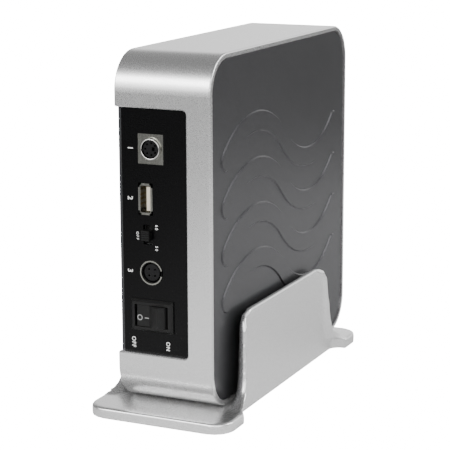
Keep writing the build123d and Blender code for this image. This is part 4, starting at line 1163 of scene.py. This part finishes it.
@dataclass
class Studio:
    """Pale floor, soft lights and the camera at the photograph's angle."""

    camera_place: Triple = (0.3265, -0.71415, 0.2505)
    yaw: float = math.radians(24.933)
    pitch: float = math.radians(12.429)
    roll: float = math.radians(0.24)
    lens: float = 129.7
    sensor: float = 36.0
    clip: Span = (0.01, 50.0)
    shift: Span = (0.0005, -0.0016)
    floor_size: float = 60.0
    floor_drop: float = 0.1 * MM
    paper_tones: Span = (0.93, 0.95)
    paper_reach: Span = (0.44, 0.80)
    paper_left: Span = (-0.07, -0.28)
    past_paper: float = 0.10
    glow: float = 16.0
    room_light: float = 0.40
    front_light: float = 3.0
    back_light: float = 1.25
    front_way: Span = (-0.15, -0.6)
    front_low: Span = (0.02, 0.2)
    front_high: Span = (0.75, 0.5)
    back_way: Span = (0.1, 0.7)
    back_high: Span = (0.6, 0.3)
    left_way: Span = (-0.9, -0.35)
    left_share: float = 0.25
    above_way: Span = (0.55, 0.95)
    above_share: float = 0.4
    lamps: tuple[Lamp, ...] = (
        Lamp("right_soft", (1.4, 0.5, 0.9), (0, 0, 0.08), (1.0, 1.0), 14.0),
        Lamp("front_strip", (-0.55, -1.1, 0.75), (0, -0.05, 0.12), (1.1, 0.35), 9.0),
    )

    def camera(self) -> None:
        """Make the camera and set it as the scene's."""
        data = bpy.data.cameras.new("camera")
        data.sensor_width = self.sensor
        data.lens = self.lens
        data.shift_x, data.shift_y = self.shift
        data.clip_start, data.clip_end = self.clip
        camera = bpy.data.objects.new("camera", data)
        bpy.context.scene.collection.objects.link(camera)
        flat = math.cos(self.pitch)
        ahead = Vector((-math.sin(self.yaw) * flat, math.cos(self.yaw) * flat, -math.sin(self.pitch)))
        level = Vector((math.cos(self.yaw), math.sin(self.yaw), 0.0))
        down = ahead.cross(level)
        right = math.cos(self.roll) * level + math.sin(self.roll) * down
        down = math.cos(self.roll) * down - math.sin(self.roll) * level
        turn = Matrix((right, -down, -ahead)).transposed().to_4x4()
        camera.matrix_world = Matrix.Translation(self.camera_place) @ turn
        bpy.context.scene.camera = camera

    def floor(self) -> None:
        """Lay the pale floor, white to the eye, its far part dim in reflections as past a paper's edge."""
        start_fresh()
        bpy.ops.mesh.primitive_plane_add(size=self.floor_size, location=(0, 0, -self.floor_drop))
        floor = bpy.context.object
        floor.name = "floor"
        material = bpy.data.materials.new("studio_white")
        material.use_nodes = True
        graph = Graph(material.node_tree)
        shader = material.node_tree.nodes["Principled BSDF"]
        shader.inputs["Roughness"].default_value = 0.9
        shader.inputs["Emission Color"].default_value = grey(1.0)
        place = graph.add("TexCoord").outputs["Object"]
        clouds = graph.add("TexNoise", {"Vector": place, "Scale": 3.0})
        light, pale = (grey(tone) for tone in self.paper_tones)
        paper = graph.blend(clouds.outputs[0], light, pale)
        reach = graph.add("VectorMath", {0: place}, operation="LENGTH").outputs["Value"]
        aside = graph.spread(graph.add("SeparateXYZ", {0: place}).outputs[0], *self.paper_left)
        past = graph.maths("MAXIMUM", graph.spread(reach, *self.paper_reach), aside)
        sight = graph.add("LightPath").outputs["Is Camera Ray"]
        dimmed = graph.maths("MULTIPLY", past, graph.maths("SUBTRACT", 1.0, sight))
        tone = graph.blend(dimmed, paper, grey(self.past_paper))
        graph.send(tone, shader.inputs["Base Color"])
        graph.send(graph.maths("MULTIPLY", sight, self.glow), shader.inputs["Emission Strength"])
        floor.data.materials.append(material)

    def air(self) -> None:
        """Fill the air with soft light: bright low in front, dim overhead, pale behind, white to the eye."""
        world = bpy.data.worlds.new("studio_air")
        world.use_nodes = True
        graph = Graph(world.node_tree)
        way = graph.add("SeparateXYZ", {0: graph.add("TexCoord").outputs["Generated"]})
        x, y, z = (way.outputs[axis] for axis in range(3))
        front = graph.spread(y, *self.front_way)
        band = graph.maths("MULTIPLY", graph.spread(z, *self.front_low), graph.spread(z, *self.front_high))
        behind = graph.maths("MULTIPLY", graph.spread(y, *self.back_way), graph.spread(z, *self.back_high))
        shine = graph.maths("MULTIPLY", graph.maths("MULTIPLY", front, band), self.front_light)
        shine = graph.maths("ADD", shine, graph.maths("MULTIPLY", behind, self.back_light))
        side = graph.spread(x, *self.left_way, (self.left_share, 1.0))
        above = graph.spread(z, *self.above_way, (1.0, self.above_share))
        room = graph.maths("MULTIPLY", graph.maths("MULTIPLY", side, above), self.room_light)
        shine = graph.maths("ADD", graph.maths("MULTIPLY", shine, side), room)
        sight = graph.add("LightPath").outputs["Is Camera Ray"]
        shine = graph.maths("ADD", shine, graph.maths("MULTIPLY", sight, self.glow))
        background = world.node_tree.nodes["Background"]
        graph.send(shine, background.inputs[1])
        background.inputs[0].default_value = grey(1.0)
        bpy.context.scene.world = world

    def build(self) -> None:
        """Set the whole studio."""
        self.air()
        self.floor()
        for lamp in self.lamps:
            lamp.hang()
        self.camera()


def main() -> None:
    """Dress the frame, add the new pieces and set the studio."""
    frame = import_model()
    palette = Palette(Effects())
    palette.dress(frame)
    skin = CradleSkin(palette, frame["nodes"]["cradle"])
    rest = (kind(palette) for kind in (CrossScrews, BoardParts, SocketTrim, PanelPrint))
    for assembly in (skin, *rest):
        assembly.build()
    Studio().build()


if __name__ == "__main__":
    main()
